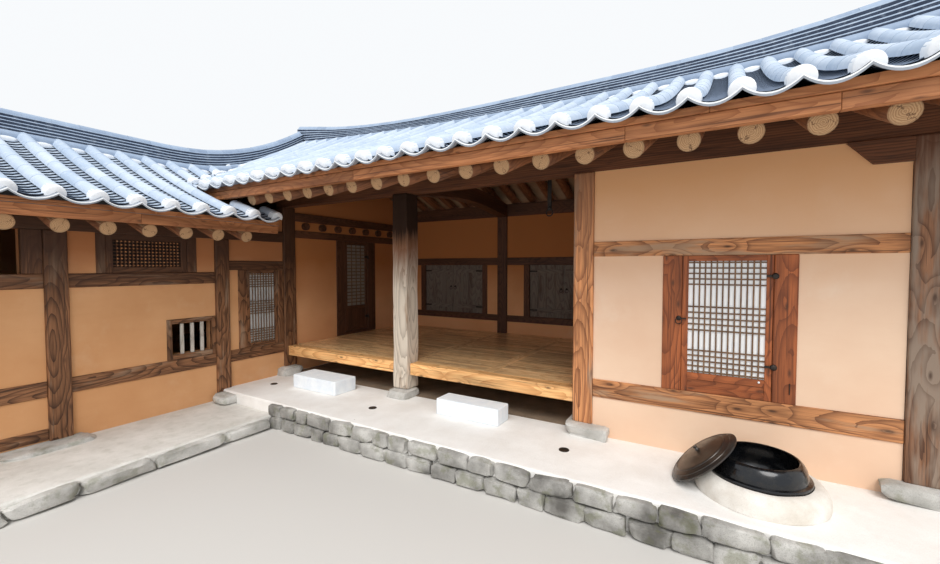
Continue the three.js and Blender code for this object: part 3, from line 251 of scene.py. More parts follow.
def knocked(middle, size, seed, rings=2):
    """A stone: a ball pressed square, dented by large and small lumps and turned a little."""
    middle, size = at(*middle), Vector(size)
    pick_none()
    bpy.ops.mesh.primitive_ico_sphere_add(subdivisions=rings + 1, radius=1, location=(0, 0, 0))
    stone = bpy.context.object
    slant = 0.12 * noise.noise(Vector((seed * 3.3, 9, 2)))
    shaped = []
    for point in points_of(stone):
        way = Vector(point).normalized()
        boxy = Vector((abs(v) ** SQUARENESS * math.copysign(1, v)) for v in way)
        lump = 0.96 + 0.22 * noise.noise(way * 1.2 + Vector((seed * 7.1, 0, 0)))
        lump += 0.07 * noise.noise(way * 3.6 + Vector((0, seed * 5.7, 0)))
        spot = Vector(v * s / 2 for v, s in zip(boxy * lump, size))
        spot += Vector((0, 0, slant * (spot.x + spot.y))) + middle
        spot.z = max(spot.z, 0.001)
        shaped.append(spot)
    set_points(stone, shaped)
    bpy.ops.object.shade_smooth_by_angle(angle=math.radians(38))
    return stone


def stone_row(start, end, heights, widths, depth, seed, fine=1):
    """Rows of stones set side by side along a face, from low to high."""
    dice = random.Random(seed)
    start, end = Vector(start), Vector(end)
    way = (end - start).normalized()
    x_share, y_share = abs(way.x), abs(way.y)
    length = (end - start).length
    row = []
    for low, high in heights:
        gone = 0.0
        while gone < length - 0.08:
            width = min(dice.uniform(*widths), length - gone)
            middle = start + way * (gone + width / 2)
            size = (x_share * width + y_share * depth, y_share * width + x_share * depth, high - low)
            row.append(knocked((middle.x, middle.y, (low + high) / 2), size, dice.uniform(0, 99), fine))
            gone += width * 0.98
    return row


COURT_EDGE_SLANT = 0.02
main_slab = block((-6.3, PLATFORM_FRONT, GROUND), (2.1, 3.9, PLATFORM_TOP), 0.02, 3)
settle(main_slab, "main_platform_top", lime_top, instead_of=["main_platform"])
court_slab = block((-9.3, -5.03, GROUND), (-4.84, PLATFORM_FRONT, WING_PLATFORM_TOP), 0.03, 3)
points = points_of(court_slab)
for point in points:
    spot = Vector(point) - FEET
    if spot.x > -5.0:
        point[0] += COURT_EDGE_SLANT * (PLATFORM_FRONT - spot.y)
set_points(court_slab, points)
wing_slab = join([block((-9.3, -1.0, GROUND), (-6.302, 3.9, WING_PLATFORM_TOP), 0.01), court_slab])
settle(wing_slab, "wing_platform_top", wing_earth, instead_of=["wing_platform"])
LOWER_ROW = (GROUND, -0.26)
UPPER_ROW = (-0.262, -0.112)
front_stones = join([
    *stone_row((-4.86, -0.98, 0), (2.08, -0.98, 0), [LOWER_ROW], (0.2, 0.36), 0.19, 3, 2),
    *stone_row((-4.9, -0.97, 0), (2.08, -0.97, 0), [(-0.262, -0.12)], (0.2, 0.4), 0.17, 4, 2),
    *stone_row((2.08, -0.9, 0), (2.08, 3.85, 0), [LOWER_ROW, UPPER_ROW], (0.25, 0.45), 0.1, 5),
    *stone_row((-6.2, 3.86, 0), (2.05, 3.86, 0), [LOWER_ROW, UPPER_ROW], (0.25, 0.45), 0.12, 7),
    knocked((2.02, -0.97, -0.33), (0.24, 0.22, 0.142), 61, 2),
    knocked((2.05, -0.93, -0.186), (0.18, 0.28, 0.15), 62, 2),
    knocked((2.03, 3.83, -0.33), (0.2, 0.18, 0.142), 63, 1),
    knocked((2.04, 3.82, -0.186), (0.18, 0.2, 0.15), 64, 1),
])
settle(front_stones, "platform_face_stones", field_stone)
kerbs = join([
    *stone_row((-4.9, -1.08, 0), (-4.82, -5.0, 0), [(GROUND, -0.266)], (0.4, 0.75), 0.3, 11, 2),
    *stone_row((-9.22, -4.99, 0), (-4.8, -4.99, 0), [(GROUND, -0.252)], (0.4, 0.7), 0.16, 13),
    *stone_row((-9.25, -4.9, 0), (-9.25, 3.85, 0), [(GROUND, -0.252)], (0.4, 0.7), 0.12, 17),
])
settle(kerbs, "wing_kerb_stones", kerb_stone)
foot_stones = join([
    knocked((-6.04, 0.06, -0.06), (0.44, 0.4, 0.14), 1),
    knocked((-3.62, 0.06, -0.06), (0.35, 0.34, 0.12), 2),
    knocked((-1.17, 0.06, -0.055), (0.44, 0.38, 0.13), 3),
    knocked((1.28, 0.06, -0.055), (0.52, 0.38, 0.13), 4),
    knocked((-5.8, -1.01, -0.19), (0.34, 0.32, 0.12), 5),
    knocked((-5.92, -2.79, -0.26), (0.38, 0.72, 0.1), 6),
    knocked((-5.92, -4.46, -0.26), (0.34, 0.5, 0.1), 7),
])
settle(foot_stones, "post_foot_stones", kerb_stone)
# Painted shade: a dark brown sheet on the platform under the hall floor, for the shadow the floor casts
# there.
under_floor_shade = stony("under_floor_shade", (0.26, 0.19, 0.13), (0.14, 0.10, 0.065), (0.4, 0.33, 0.25), 0.0, 0.4)
under_floor_sheet = block((-5.98, 0.13, PLATFORM_TOP + 0.001), (-1.24, 2.98, PLATFORM_TOP + 0.005), 0.001)
settle(under_floor_sheet, "shade_sheet_under_floor", under_floor_shade)


# Two sawn granite blocks that people step on to reach the hall: each a block with fine chamfers,
# pale and faintly blue, its faces picked over with a pointed chisel.
granite = stony(
    "pale_granite", (0.90, 0.95, 0.99), (0.80, 0.87, 0.94), (0.58, 0.64, 0.71), 0.0, 0.25, 0.75, 9.0,
)
for side in ("left", "right"):
    low, high = (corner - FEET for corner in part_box(f"step_stone_{side}"))
    stone = block(low + Vector((0.004, 0.004, 0)), high - Vector((0.004, 0.004, 0)), 0.012, 2)
    settle(stone, f"granite_step_{side}", granite, instead_of=[f"step_stone_{side}"])


# The hearth at the room's foot: a mound of clay, an iron cauldron sunk in it, and the iron lid that
# leans on its rim. All three are turned from one ring, drawn up and widened step by step.
def turned(profile, sides):
    """A round body about the Z axis: a ring extruded from one radius and height to the next."""
    pick_none()
    radius, height = profile[0]
    bpy.ops.mesh.primitive_circle_add(vertices=sides, radius=radius, location=(0, 0, height))
    bpy.ops.object.transform_apply(location=True)
    edit_all()
    for wider, higher in profile[1:]:
        bpy.ops.mesh.extrude_region_move(TRANSFORM_OT_translate={"value": (0, 0, higher - height)})
        share = wider / radius
        bpy.ops.transform.resize(value=(share, share, 1), center_override=(0, 0, higher))
        radius, height = wider, higher
    bpy.ops.mesh.select_all(action="SELECT")
    bpy.ops.mesh.remove_doubles(threshold=0.0004)
    bpy.ops.mesh.normals_make_consistent(inside=False)
    leave_edit()
    bpy.ops.object.shade_smooth_by_angle(angle=math.radians(40))
    return bpy.context.object


POT = at(0.25, -0.44, 0)
hearth_clay = stony(
    "hearth_clay", (0.84, 0.81, 0.76), (0.66, 0.61, 0.54), (0.38, 0.34, 0.28), 0.0, 0.25, 0.95, 5.0,
)
mound = turned([
    (0.0005, -0.108), (0.43, -0.108), (0.432, -0.085), (0.428, -0.045), (0.415, -0.01), (0.392, 0.018),
    (0.36, 0.034), (0.333, 0.033), (0.325, 0.02), (0.3, -0.06), (0.2, -0.11), (0.0005, -0.12),
], 72)
lumpy = []
for point in points_of(mound):
    bump = 0.006 * noise.noise(Vector(point) * 7)
    lumpy.append(Vector(point) * (1 + bump * 2) + Vector((0, 0, min(bump, 0.002))) + POT)
set_points(mound, lumpy)
bank = block((-0.08, -0.12, PLATFORM_TOP), (0.58, 0.028, 0.018), 0.03, 4)
settle(join([mound, bank]), "clay_hearth", hearth_clay, instead_of=["hearth_mound"])


def iron(name, tone, rust, rough, shine=0.5):
    """Cast iron, oiled and worn: dark, uneven, with brown where the oil has gone."""
    finish, tree, surface = new_finish(name, rough, 0.75)
    place = place_on_object(tree)
    worn = spread(tree, noise_of(tree, place, 9.0, 7.0, 0.7), 0.45, 0.7)
    paint(tree, surface, mixed(tree, worn, tone, rust))
    tree.links.new(spread(tree, worn, 0.0, 1.0, rough, rough + 0.22), surface.inputs["Roughness"])
    surface.inputs["Coat Weight"].default_value = shine
    surface.inputs["Coat Roughness"].default_value = 0.12
    raise_surface(tree, surface, noise_of(tree, place, 60.0, 4.0), 0.12, 0.003)
    return finish


black_iron = iron("cauldron_iron", (0.012, 0.014, 0.018), (0.03, 0.028, 0.026), 0.22, 0.6)
lid_iron = iron("lid_iron", (0.05, 0.045, 0.042), (0.08, 0.066, 0.055), 0.34, 0.25)
fitting_iron = iron("fitting_iron", (0.03, 0.027, 0.025), (0.07, 0.05, 0.04), 0.45, 0.1)
pot = turned([
    (0.0005, -0.138), (0.1, -0.134), (0.17, -0.12), (0.24, -0.08), (0.28, -0.03), (0.3, 0.036),
    (0.328, 0.037), (0.33, 0.046), (0.326, 0.055), (0.305, 0.06), (0.301, 0.085), (0.292, 0.125),
    (0.276, 0.156), (0.258, 0.174), (0.25, 0.1755), (0.243, 0.171), (0.26, 0.145), (0.273, 0.11),
    (0.28, 0.03), (0.262, -0.03), (0.22, -0.07), (0.15, -0.1), (0.08, -0.112), (0.0005, -0.115),
], 72)
set_points(pot, [Vector(point) + POT for point in points_of(pot)])
settle(pot, "iron_cauldron", black_iron, instead_of=["cauldron"])
lid = turned([
    (0.0005, 0.004), (0.2, 0.002), (0.286, 0.0005), (0.291, 0.005), (0.292, 0.014), (0.28, 0.022),
    (0.264, 0.0284), (0.262, 0.0325), (0.256, 0.035), (0.252, 0.0332), (0.24, 0.038), (0.222, 0.0443),
    (0.22, 0.0484), (0.214, 0.051), (0.21, 0.0485), (0.2, 0.052), (0.19, 0.0525), (0.14, 0.064),
    (0.09, 0.072), (0.085, 0.0725), (0.04, 0.076), (0.02, 0.078), (0.013, 0.086), (0.012, 0.098),
    (0.018, 0.106), (0.016, 0.111), (0.0005, 0.112),
], 72)
lean = Matrix.Rotation(math.radians(5), 4, "Z") @ Matrix.Rotation(math.radians(-41), 4, "Y")
lid_low = min((lean @ Vector(point)).z for point in points_of(lid))
lid_middle = at(-0.1125, -0.465, PLATFORM_TOP - lid_low + 0.001)
set_points(lid, [lean @ Vector(point) + lid_middle for point in points_of(lid)])
settle(lid, "iron_lid", lid_iron, instead_of=["cauldron_lid"])


# Three round iron covers let into the platform's edge: each is cast as a flat disc in a low ring
# and turned from the same profile.
covers = []
disc_profile = [(0.0005, 0.004), (0.036, 0.004), (0.038, 0.007), (0.047, 0.006), (0.049, 0.0), (0.0005, 0.0)]
for x, y in ((-5.611, -0.459), (-3.627, -0.509), (-1.256, -0.475)):
    disc = turned(disc_profile, 24)
    set_points(disc, [Vector(point) + at(x, y, PLATFORM_TOP) for point in points_of(disc)])
    covers.append(disc)
settle(join(covers), "platform_covers", fitting_iron)


# The posts of the main front, squared pine with the arrises taken off by hand. Each is its own
# timber: red and flamed, silver-grey where it is old, or brown and full of knots. The seed of the
# noise is set once, because noise vectors start from the clock without it.
def lay_grain(piece, along=None):
    """Keeps on each point how far it lies along and across its timber, for the wood's figure."""
    points = points_of(piece)
    size = points.max(0) - points.min(0)
    axis = int(size.argmax()) if along is None else along
    order = [axis, (axis + 1) % 3, (axis + 2) % 3]
    middle = (points.max(0) + points.min(0)) / 2
    shift = [chance.uniform(2, 90), chance.uniform(-0.06, 0.06), chance.uniform(-0.06, 0.06)]
    grain = (points - middle)[:, order] + shift
    kept = piece.data.attributes.new("grain", "FLOAT_VECTOR", "POINT")
    kept.data.foreach_set("vector", grain.astype(np.float32).ravel())
    return piece


def wood(name, light, dark, knot=0.8, rough=0.6, grey=0.0, silver=(0.40, 0.37, 0.33), rings=1.5,
         on_object=None, stain_and_shade_bands=(), shine=0.4):
    """Pine: late wood in flames round the heart, streaks along it, knots, and grey where weathered.
    The bands list heights between which a post turns to another colour, and that colour: partly stain, partly
    painted shade under the eave."""
    finish, tree, surface = new_finish(name, rough)
    surface.inputs["Specular IOR Level"].default_value = shine
    if on_object is None:
        grain = attribute_of(tree, "grain", "Vector")
    else:
        turn = (0, 0, math.pi / 2 if on_object == "y" else 0)
        grain = put(tree, "ShaderNodeMapping", None, Vector=place_on_object(tree), Rotation=turn).outputs[0]
    along, across, through = parts_of(tree, grain)
    knot_place = put(
        tree, "ShaderNodeCombineXYZ", None,
        X=times(tree, along, 1.9), Y=times(tree, plus(tree, across, through), 5.5),
    ).outputs[0]
    near = put(
        tree, "ShaderNodeTexVoronoi", {"voronoi_dimensions": "2D"},
        Vector=knot_place, Scale=1.0, Randomness=1.0,
    ).outputs["Distance"]
    swirl = spread(tree, near, 0.0, 0.34, 9.0 * knot, 0.0)
    swing = times(tree, math_of(tree, "PINGPONG", along, 0.9), 0.17)
    log = put(tree, "ShaderNodeCombineXYZ", None, X=swing, Y=across, Z=through).outputs[0]
    flames = {"wave_type": "RINGS", "rings_direction": "SPHERICAL", "wave_profile": "SAW"}
    figure = put(
        tree, "ShaderNodeTexWave", flames, Vector=log, Scale=10.0 * rings, Distortion=2.4, Detail=3.0,
        Detail_Scale=1.2, Detail_Roughness=0.6, Phase_Offset=swirl,
    ).outputs["Fac"]
    late = math_of(tree, "POWER", spread(tree, figure, 0.3, 1.0), 1.8)

    def drawn_out(lengthways, sideways, detail, roughness):
        """Noise drawn out along the grain."""
        return noise_of(tree, stretched(tree, grain, lengthways, sideways, sideways), 1.0, detail, roughness)

    fibres = drawn_out(5.0, 260.0, 2.0, 0.6)
    streaks = drawn_out(1.6, 46.0, 5.0, 0.65)
    tone = mixed(tree, times(tree, late, 0.85), light, dark)
    tone = mixed(tree, spread(tree, streaks, 0.46, 0.66, 0.0, 0.75), tone, dark)
    tone = mixed(tree, spread(tree, fibres, 0.4, 0.75, 0.0, 0.35), tone, dark)
    cracks = spread(tree, drawn_out(0.7, 75.0, 3.0, 0.5), 0.61, 0.66, 0.0, 0.8)
    tone = mixed(tree, cracks, tone, mixed(tree, 0.6, dark, (0.02, 0.01, 0.006)))
    shade = spread(tree, drawn_out(0.9, 6.0, 3.0, 0.55), 0.3, 0.7, 0.68, 1.32)
    cloud = put(tree, "ShaderNodeCombineColor", None, Red=shade, Green=shade, Blue=shade).outputs[0]
    tone = mixed(tree, 1.0, tone, cloud, "MULTIPLY")
    if grey:
        faded = spread(tree, drawn_out(1.2, 9.0, 4.0, 0.6), 0.62 - grey * 0.4, 0.72 - grey * 0.3)
        tone = mixed(tree, faded, tone, mixed(tree, times(tree, late, 0.45), silver, dark))
    heart = spread(tree, near, 0.02, 0.085, 0.8 * min(knot, 1), 0.0)
    tone = mixed(tree, heart, tone, (0.05, 0.022, 0.012))
    # Painted shade and stain: each band darkens the timber upwards from its lower height.
    for low, high, stain_and_shade_tone in stain_and_shade_bands:
        ragged = plus(tree, parts_of(tree, place_on_object(tree))[2], times(tree, streaks, 0.5))
        tone = mixed(tree, spread(tree, ragged, low + 0.25, high + 0.25, 0.0, 0.92), tone, stain_and_shade_tone)
    paint(tree, surface, tone)
    height = math_of(tree, "SUBTRACT", times(tree, fibres, 0.5), times(tree, late, 0.6))
    raise_surface(tree, surface, height, 0.3, 0.004)
    return finish


def cut_across(axis, start, stop, cuts):
    """Divides the active piece into equal lengths along an axis, so that it can be bent there."""
    bpy.ops.object.mode_set(mode="EDIT")
    for cut in range(1, cuts):
        place = [0.0, 0.0, 0.0]
        place[axis] = start + (stop - start) * cut / cuts
        bpy.ops.mesh.select_all(action="SELECT")
        bpy.ops.mesh.bisect(plane_co=place, plane_no=[float(number == axis) for number in range(3)])
    leave_edit()


noise.seed_set(12)


def hewn(piece, amount, seed, cuts=14):
    """Divides a timber along its length and shifts its faces a little, as an adze leaves them."""
    pick(piece)
    points = points_of(piece)
    low, high = points.min(0), points.max(0)
    axis = int((high - low).argmax())
    cut_across(axis, low[axis], high[axis], cuts)
    shifted = []
    for point in points_of(piece):
        ends = 1.0 if low[axis] + 0.02 < point[axis] < high[axis] - 0.02 else 0.0
        shift = noise.noise_vector(Vector(point) * 2.6 + Vector((seed, 0, 0))) * amount * ends
        shift[axis] = 0.0
        shifted.append(Vector(point) + shift)
    set_points(piece, shifted)
    return piece


# The darker bands near the posts' tops are partly stain and partly painted shade under the eave.
post_red = wood(
    "post_red_pine", (0.75, 0.33, 0.135), (0.22, 0.07, 0.025), 0.5, 0.6, 0.12, (0.36, 0.24, 0.16),
    1.1, stain_and_shade_bands=[(1.7, 3.2, (0.22, 0.11, 0.06))],
)
post_silver = wood(
    "post_silver_pine", (0.44, 0.28, 0.17), (0.11, 0.06, 0.035), 0.5, 0.8, 0.85, (0.70, 0.62, 0.52),
    1.2, stain_and_shade_bands=[(1.72, 2.25, (0.20, 0.085, 0.04)), (2.28, 2.46, (0.012, 0.006, 0.004))], shine=0.15,
)
post_brown = wood(
    "post_brown_pine", (0.28, 0.135, 0.07), (0.07, 0.028, 0.014), 1.1, 0.7, 0.5,
    (0.27, 0.20, 0.15), 1.1, stain_and_shade_bands=[(2.6, 2.95, (0.11, 0.042, 0.02))],
)
wing_pine = wood(
    "wing_pine", (0.31, 0.14, 0.062), (0.028, 0.009, 0.004), 0.7, 0.65, 0.16, (0.34, 0.22, 0.14), 1.1,
    stain_and_shade_bands=[(1.5, 2.15, (0.05, 0.018, 0.007))],
)
dark_pine = wood("dark_pine", (0.125, 0.05, 0.024), (0.045, 0.017, 0.009), 0.6, 0.6)

POSTS = {
    "corner_post": (wing_pine, 0.004, "timber"),
    "hall_post": (post_silver, 0.012, "old_timber"),
    "room_post_left": (post_red, 0.003, "timber"),
    "room_post_right": (post_brown, 0.005, "timber"),
}
for number, (node, (finish, amount, slot)) in enumerate(POSTS.items()):
    low, high = (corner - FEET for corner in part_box(node))
    inset = Vector((amount, amount, 0)) * 0.5
    post = hewn(block(low + inset, high - inset, 0.014, 2), amount, number * 5.3)
    settle(lay_grain(post, 2), f"{node}_hewn", finish, instead_of=[node])


# The beams that the posts carry: the front beam under the rafters, the arched cross beam over the
# hall, the ridge purlin, and the bracket block let into the wall beside the last post.
# The front beam's pine is very dark: partly the old wood's colour, partly painted shade under the rafters.
beam_along_x = wood("beam_pine", (0.16, 0.058, 0.023), (0.045, 0.016, 0.007), 0.5, 0.65, on_object="x")
beam_along_y = wood("cross_beam_pine", (0.12, 0.05, 0.025), (0.045, 0.018, 0.01), 0.5, 0.6, on_object="y")


def dress(finish, *nodes):
    """Gives pieces of the frame their finish."""
    for node in nodes:
        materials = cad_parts[node].data.materials
        materials.clear()
        materials.append(finish)


dress(beam_along_x, "front_beam", "ridge_purlin")
dress(beam_along_y, "hall_cross_beam")


def timber(low, high, edge=0.006, along=None):
    """A squared timber, with its grain along it or along the axis given."""
    return lay_grain(block(low, high, edge), along)


def timbers(name, bars, finish, instead_of=(), edge=0.006):
    """Squared timbers between pairs of corners, joined as one piece."""
    made = join([timber(low, high, edge) for low, high in bars])
    return settle(made, name, finish, instead_of=instead_of)


bracket = block((0.78, 0.0, 2.36), (1.165, 0.028, 2.54), 0.004)
slanted = points_of(bracket)
toe = at(0.78, 0, 2.36)
for point in slanted:
    if point[0] < toe.x + 0.02:
        point[0] += max(0.0, (toe.z + 0.18 - point[2])) * 0.9
set_points(bracket, slanted)
settle(lay_grain(bracket), "bracket_block", beam_along_x)


# The floors: the hall's is laid in the old way, with long joists from front to back and short
# planks fitted between them. A golden sill runs along its front edge. Room and wing are boarded.
golden = wood("golden_planks", (0.99, 0.68, 0.36), (0.72, 0.40, 0.17), 0.6, 0.22, rings=1.0, shine=1.0)
sill_gold = wood("golden_sill", (0.97, 0.58, 0.25), (0.58, 0.26, 0.085), 1.2, 0.5, rings=1.0)
FLOOR = 0.337
HALL_JOISTS = [-5.93, -4.86, -3.63, -2.43, -1.36]
JOISTS_BETWEEN_POSTS = (-5.93, -3.63)
JOIST_WIDE = 0.13


def planks(x0, x1, y0, y1, widths, seed):
    """Planks across a bay, one after another, each with its own wood."""
    dice = random.Random(seed)
    laid = []
    y = y0
    while y < y1 - 0.05:
        width = min(dice.uniform(*widths), y1 - y)
        if y1 - y - width < 0.06:
            width = y1 - y
        top = FLOOR - dice.uniform(0.0, 0.0015)
        laid.append(timber((x0, y + 0.001, FLOOR - 0.04), (x1, y + width - 0.001, top), 0.003, 0))
        y += width
    return laid


hall_boards = []
half = JOIST_WIDE / 2
for left, right in zip(HALL_JOISTS, HALL_JOISTS[1:]):
    hall_boards += planks(left + half, right - half, 0.19, 2.98, (0.17, 0.3), int(left * -10))
for x in HALL_JOISTS:
    start, stop = (0.255, 2.975) if x in JOISTS_BETWEEN_POSTS else (0.19, 3.0)
    hall_boards.append(timber((x - half, start, 0.19), (x + half, stop, FLOOR), 0.004))
hall_boards.append(timber((-6.005, 0.26, 0.25), (-5.995, 2.97, FLOOR), 0.002))
settle(join(hall_boards), "hall_floor_boards", golden, instead_of=["hall_floor"])
timbers("hall_floor_sill", [
    ((-5.97, 0.05, 0.187), (-3.76, 0.19, FLOOR)),
    ((-3.5, 0.05, 0.187), (-1.336, 0.19, FLOOR)),
    ((-5.97, 2.985, 0.187), (-1.34, 3.008, FLOOR)),
], sill_gold)
floor_finish = wood("inner_floor", (0.45, 0.23, 0.10), (0.25, 0.11, 0.045), 0.5, 0.5, on_object="y")
dress(floor_finish, "room_floor", "wing_floor")


# The walls: earth plaster on woven laths, trowelled smooth, ochre to peach. They stay as the frame has them,
# and get their finish here, with slow clouds of tone, the trowel's faint sweeps, and painted shade towards
# the eaves.
def plaster(name, light, dark, dust=(0.86, 0.80, 0.72), upper=None):
    """Earth plaster, clouded and brushed. upper gives the heights between which it deepens, and to
    what: painted shade under the eave, and in the hall above its rails."""
    finish, tree, surface = new_finish(name, 0.93)
    place = place_on_object(tree)
    clouds = spread(tree, noise_of(tree, place, 0.9, 5.0, 0.55), 0.32, 0.68)
    tone = mixed(tree, clouds, dark, light)
    sweeps = noise_of(tree, stretched(tree, place, 2.0, 2.0, 9.0), 1.0, 5.0, 0.65, 0.6)
    tone = mixed(tree, spread(tree, sweeps, 0.45, 0.75, 0.0, 0.22), tone, dark)
    pale = spread(tree, noise_of(tree, place, 3.2, 6.0, 0.6), 0.56, 0.74, 0.0, 0.22)
    tone = mixed(tree, pale, tone, dust)
    # Painted shade: the plaster darkens and reddens between the heights given in upper.
    if upper:
        tone = paint_shade_band(tree, tone, 2, *upper)
    paint(tree, surface, tone)
    fine = noise_of(tree, place, 120.0, 4.0, 0.7)
    height = plus(tree, times(tree, fine, 0.35), sweeps)
    raise_surface(tree, surface, height, 0.18, 0.006)
    return finish


# The last argument of each plaster is a band of painted shade: its heights, the shade's colour and how far it
# goes.
room_plaster = plaster(
    "room_plaster", (0.86, 0.63, 0.46), (0.78, 0.52, 0.36), (0.90, 0.77, 0.64),
    (1.8, 2.8, (0.74, 0.38, 0.16), 0.85),
)
wing_plaster = plaster(
    "wing_plaster", (0.75, 0.41, 0.20), (0.64, 0.31, 0.13), (0.80, 0.56, 0.37),
    (1.7, 2.15, (0.36, 0.125, 0.04), 0.85),
)
# The hall plaster's deeper orange is partly its own tone and partly painted bounce light and shade of the dim
# hall.
hall_plaster = plaster(
    "hall_plaster", (0.86, 0.46, 0.23), (0.76, 0.37, 0.165), (0.88, 0.58, 0.38),
    (1.15, 2.1, (0.45, 0.165, 0.046), 0.97),
)
dress(room_plaster, "room_front_wall", "end_wall")
dress(wing_plaster, "wing_court_wall", "wing_outer_wall")
dress(hall_plaster, "hall_side_wall_front", "hall_side_wall_back", "hall_side_wall_over", "room_side_wall")
dress(hall_plaster, "back_wall_left", "back_wall_middle", "back_wall_right")


# The room's front: rails and window posts of red pine let into the plaster, and a window of fine
# pine bars, three bands of close crossings between open ones, with white paper behind.
ROOM_X = (-1.1275, 1.16)
FRAME_Y = (0.015, 0.09)
WINDOW_X = (-0.33, 0.355)
WINDOW_Z = (0.466, 1.7)
rail_pine = wood(
    "rail_pine", (0.68, 0.30, 0.12), (0.15, 0.05, 0.02), 1.2, 0.65, 0.18, (0.42, 0.26, 0.155), 1.0,
)
window_pine = wood("window_pine", (0.40, 0.115, 0.035), (0.15, 0.038, 0.012), 0.9, 0.55, rings=1.0)
timbers("room_rails", [
    ((ROOM_X[0], FRAME_Y[0], 0.288), (ROOM_X[1], FRAME_Y[1], 0.466)),
    ((ROOM_X[0], FRAME_Y[0], 1.7), (ROOM_X[1], FRAME_Y[1], 1.844)),
], rail_pine, instead_of=["room_front_frame"])
timbers("room_window_posts", [
    ((-0.489, FRAME_Y[0] + 0.001, 0.4665), (WINDOW_X[0], FRAME_Y[1], 1.6995)),
    ((WINDOW_X[1], FRAME_Y[0] + 0.001, 0.4665), (0.517, FRAME_Y[1], 1.6995)),
], window_pine)


def stiles(low, high, wide, thick, axis, rails=()):
    """The frame of a leaf: two stiles, a rail at each end and any between. low and high hold the
    leaf's corners along the wall and up, and thick its near and far face."""
    def bar(a0, a1, z0, z1, trim=0.0):
        first, second = thick[0] + trim, thick[1] - trim
        if axis == "x":
            return (a0, first, z0), (a1, second, z1)
        return (first, a0, z0), (second, a1, z1)
    bars = [
        bar(low[0], low[0] + wide, low[1], high[1]),
        bar(high[0] - wide, high[0], low[1], high[1]),
    ]
    for z0, z1 in [(low[1], low[1] + wide), (high[1] - wide, high[1]), *rails]:
        bars.append(bar(low[0] + wide - 0.002, high[0] - wide + 0.002, z0, z1, 0.001))
    return [timber(*corners, 0.003) for corners in bars]


def lattice(a_range, z_range, uprights, levels, thick, face, axis, bar=0.012):
    """Fine bars: uprights evenly spaced, and level bars at the given heights."""
    def stick(a0, a1, z0, z1, out):
        first, second = face + out, face + out + thick
        if axis == "x":
            return (a0, first, z0), (a1, second, z1)
        return (2 * face - second, a0, z0), (2 * face - first, a1, z1)
    sticks = []
    for number in range(1, uprights + 1):
        a = a_range[0] + (a_range[1] - a_range[0]) * number / (uprights + 1)
        sticks.append(stick(a - bar / 2, a + bar / 2, z_range[0], z_range[1], 0.0))
    for z in levels:
        sticks.append(stick(a_range[0], a_range[1], z - bar / 2, z + bar / 2, 0.001))
    return [timber(*corners, 0.0015) for corners in sticks]


def bands(*groups):
    """Heights of level bars, from (lowest, highest, how many) for each band."""
    return [low + (high - low) * n / (count - 1) for low, high, count in groups for n in range(count)]


def papered(name, low, high, finish, body="house"):
    """A sheet of paper behind a lattice."""
    return settle(block(low, high, 0.001), name, finish, body)


paper, tree, surface = new_finish("mulberry_paper_painted_glow", 0.9)
place = place_on_object(tree)
hairs = noise_of(tree, stretched(tree, place, 30, 30, 12), 1.0, 6.0, 0.7, 1.5)
tone = mixed(tree, spread(tree, hairs, 0.4, 0.7), (0.86, 0.87, 0.88), (0.95, 0.95, 0.93))
paint(tree, surface, tone)
# Painted light: the paper glows faintly though no lamp lights it, and the white knob made of it glows too.
surface.inputs["Emission Color"].default_value = (0.9, 0.95, 1.0, 1.0)
surface.inputs["Emission Strength"].default_value = 0.15
raise_surface(tree, surface, hairs, 0.1, 0.002)

leaf_bars = stiles(
    (WINDOW_X[0] + 0.002, WINDOW_Z[0] + 0.002), (WINDOW_X[1] - 0.002, WINDOW_Z[1] - 0.002),
    0.05, (0.03, 0.068), "x", [(0.58, 0.64)],
)
panel = timber((WINDOW_X[0] + 0.05, 0.04, 0.5), (WINDOW_X[1] - 0.05, 0.06, 0.585), 0.002)
settle(join([*leaf_bars, panel]), "room_window_leaf", window_pine, instead_of=["room_window"])
bar_pine = wood("lattice_pine", (0.22, 0.13, 0.07), (0.12, 0.062, 0.034), 0.0, 0.7)
room_lattice = lattice(
    (-0.28, 0.305), (0.64, 1.65), 12,
    bands((0.655, 0.845, 5), (1.03, 1.24, 5), (1.44, 1.635, 5)), 0.014, 0.034, "x", 0.0125,
)
settle(join(room_lattice), "room_window_lattice", bar_pine)
papered("room_window_paper", (-0.285, 0.052, 0.636), (0.31, 0.058, 1.654), paper)


def boss(middle, radius, proud, axis="y"):
    """A domed iron boss on a timber."""
    pick_none()
    bpy.ops.mesh.primitive_uv_sphere_add(segments=20, ring_count=10, radius=radius, location=at(*middle))
    bpy.ops.object.transform_apply(location=True)
    head = bpy.context.object
    centre = at(*middle)
    number = "xyz".index(axis)
    points = points_of(head)
    points[:, number] = centre[number] + (points[:, number] - centre[number]) * proud / radius
    set_points(head, points)
    bpy.ops.object.shade_smooth()
    return head


def ring_of(middle, radius, wire, turn=(math.pi / 2, 0, 0)):
    pick_none()
    bpy.ops.mesh.primitive_torus_add(
        location=at(*middle), rotation=turn, major_radius=radius, minor_radius=wire,
        major_segments=28, minor_segments=8,
    )
    bpy.ops.object.transform_apply(location=True, rotation=True)
    bpy.ops.object.shade_smooth()
    return bpy.context.object


fittings = join([
    boss((-0.352, 0.014, 1.13), 0.022, 0.012),
    ring_of((-0.352, 0.004, 1.105), 0.026, 0.004),
    block((-0.352, 0.008, 1.122), (-0.29, 0.016, 1.134), 0.002),
    boss((0.362, 0.014, 1.52), 0.026, 0.014),
    block((0.3, 0.012, 1.51), (0.362, 0.02, 1.53), 0.003),
    boss((0.362, 0.014, 0.76), 0.026, 0.014),
    block((0.3, 0.012, 0.75), (0.362, 0.02, 0.77), 0.003),
    block((0.47, 0.006, 0.55), (0.476, 0.016, 0.64), 0.002),
])
settle(fittings, "room_window_fittings", fitting_iron)
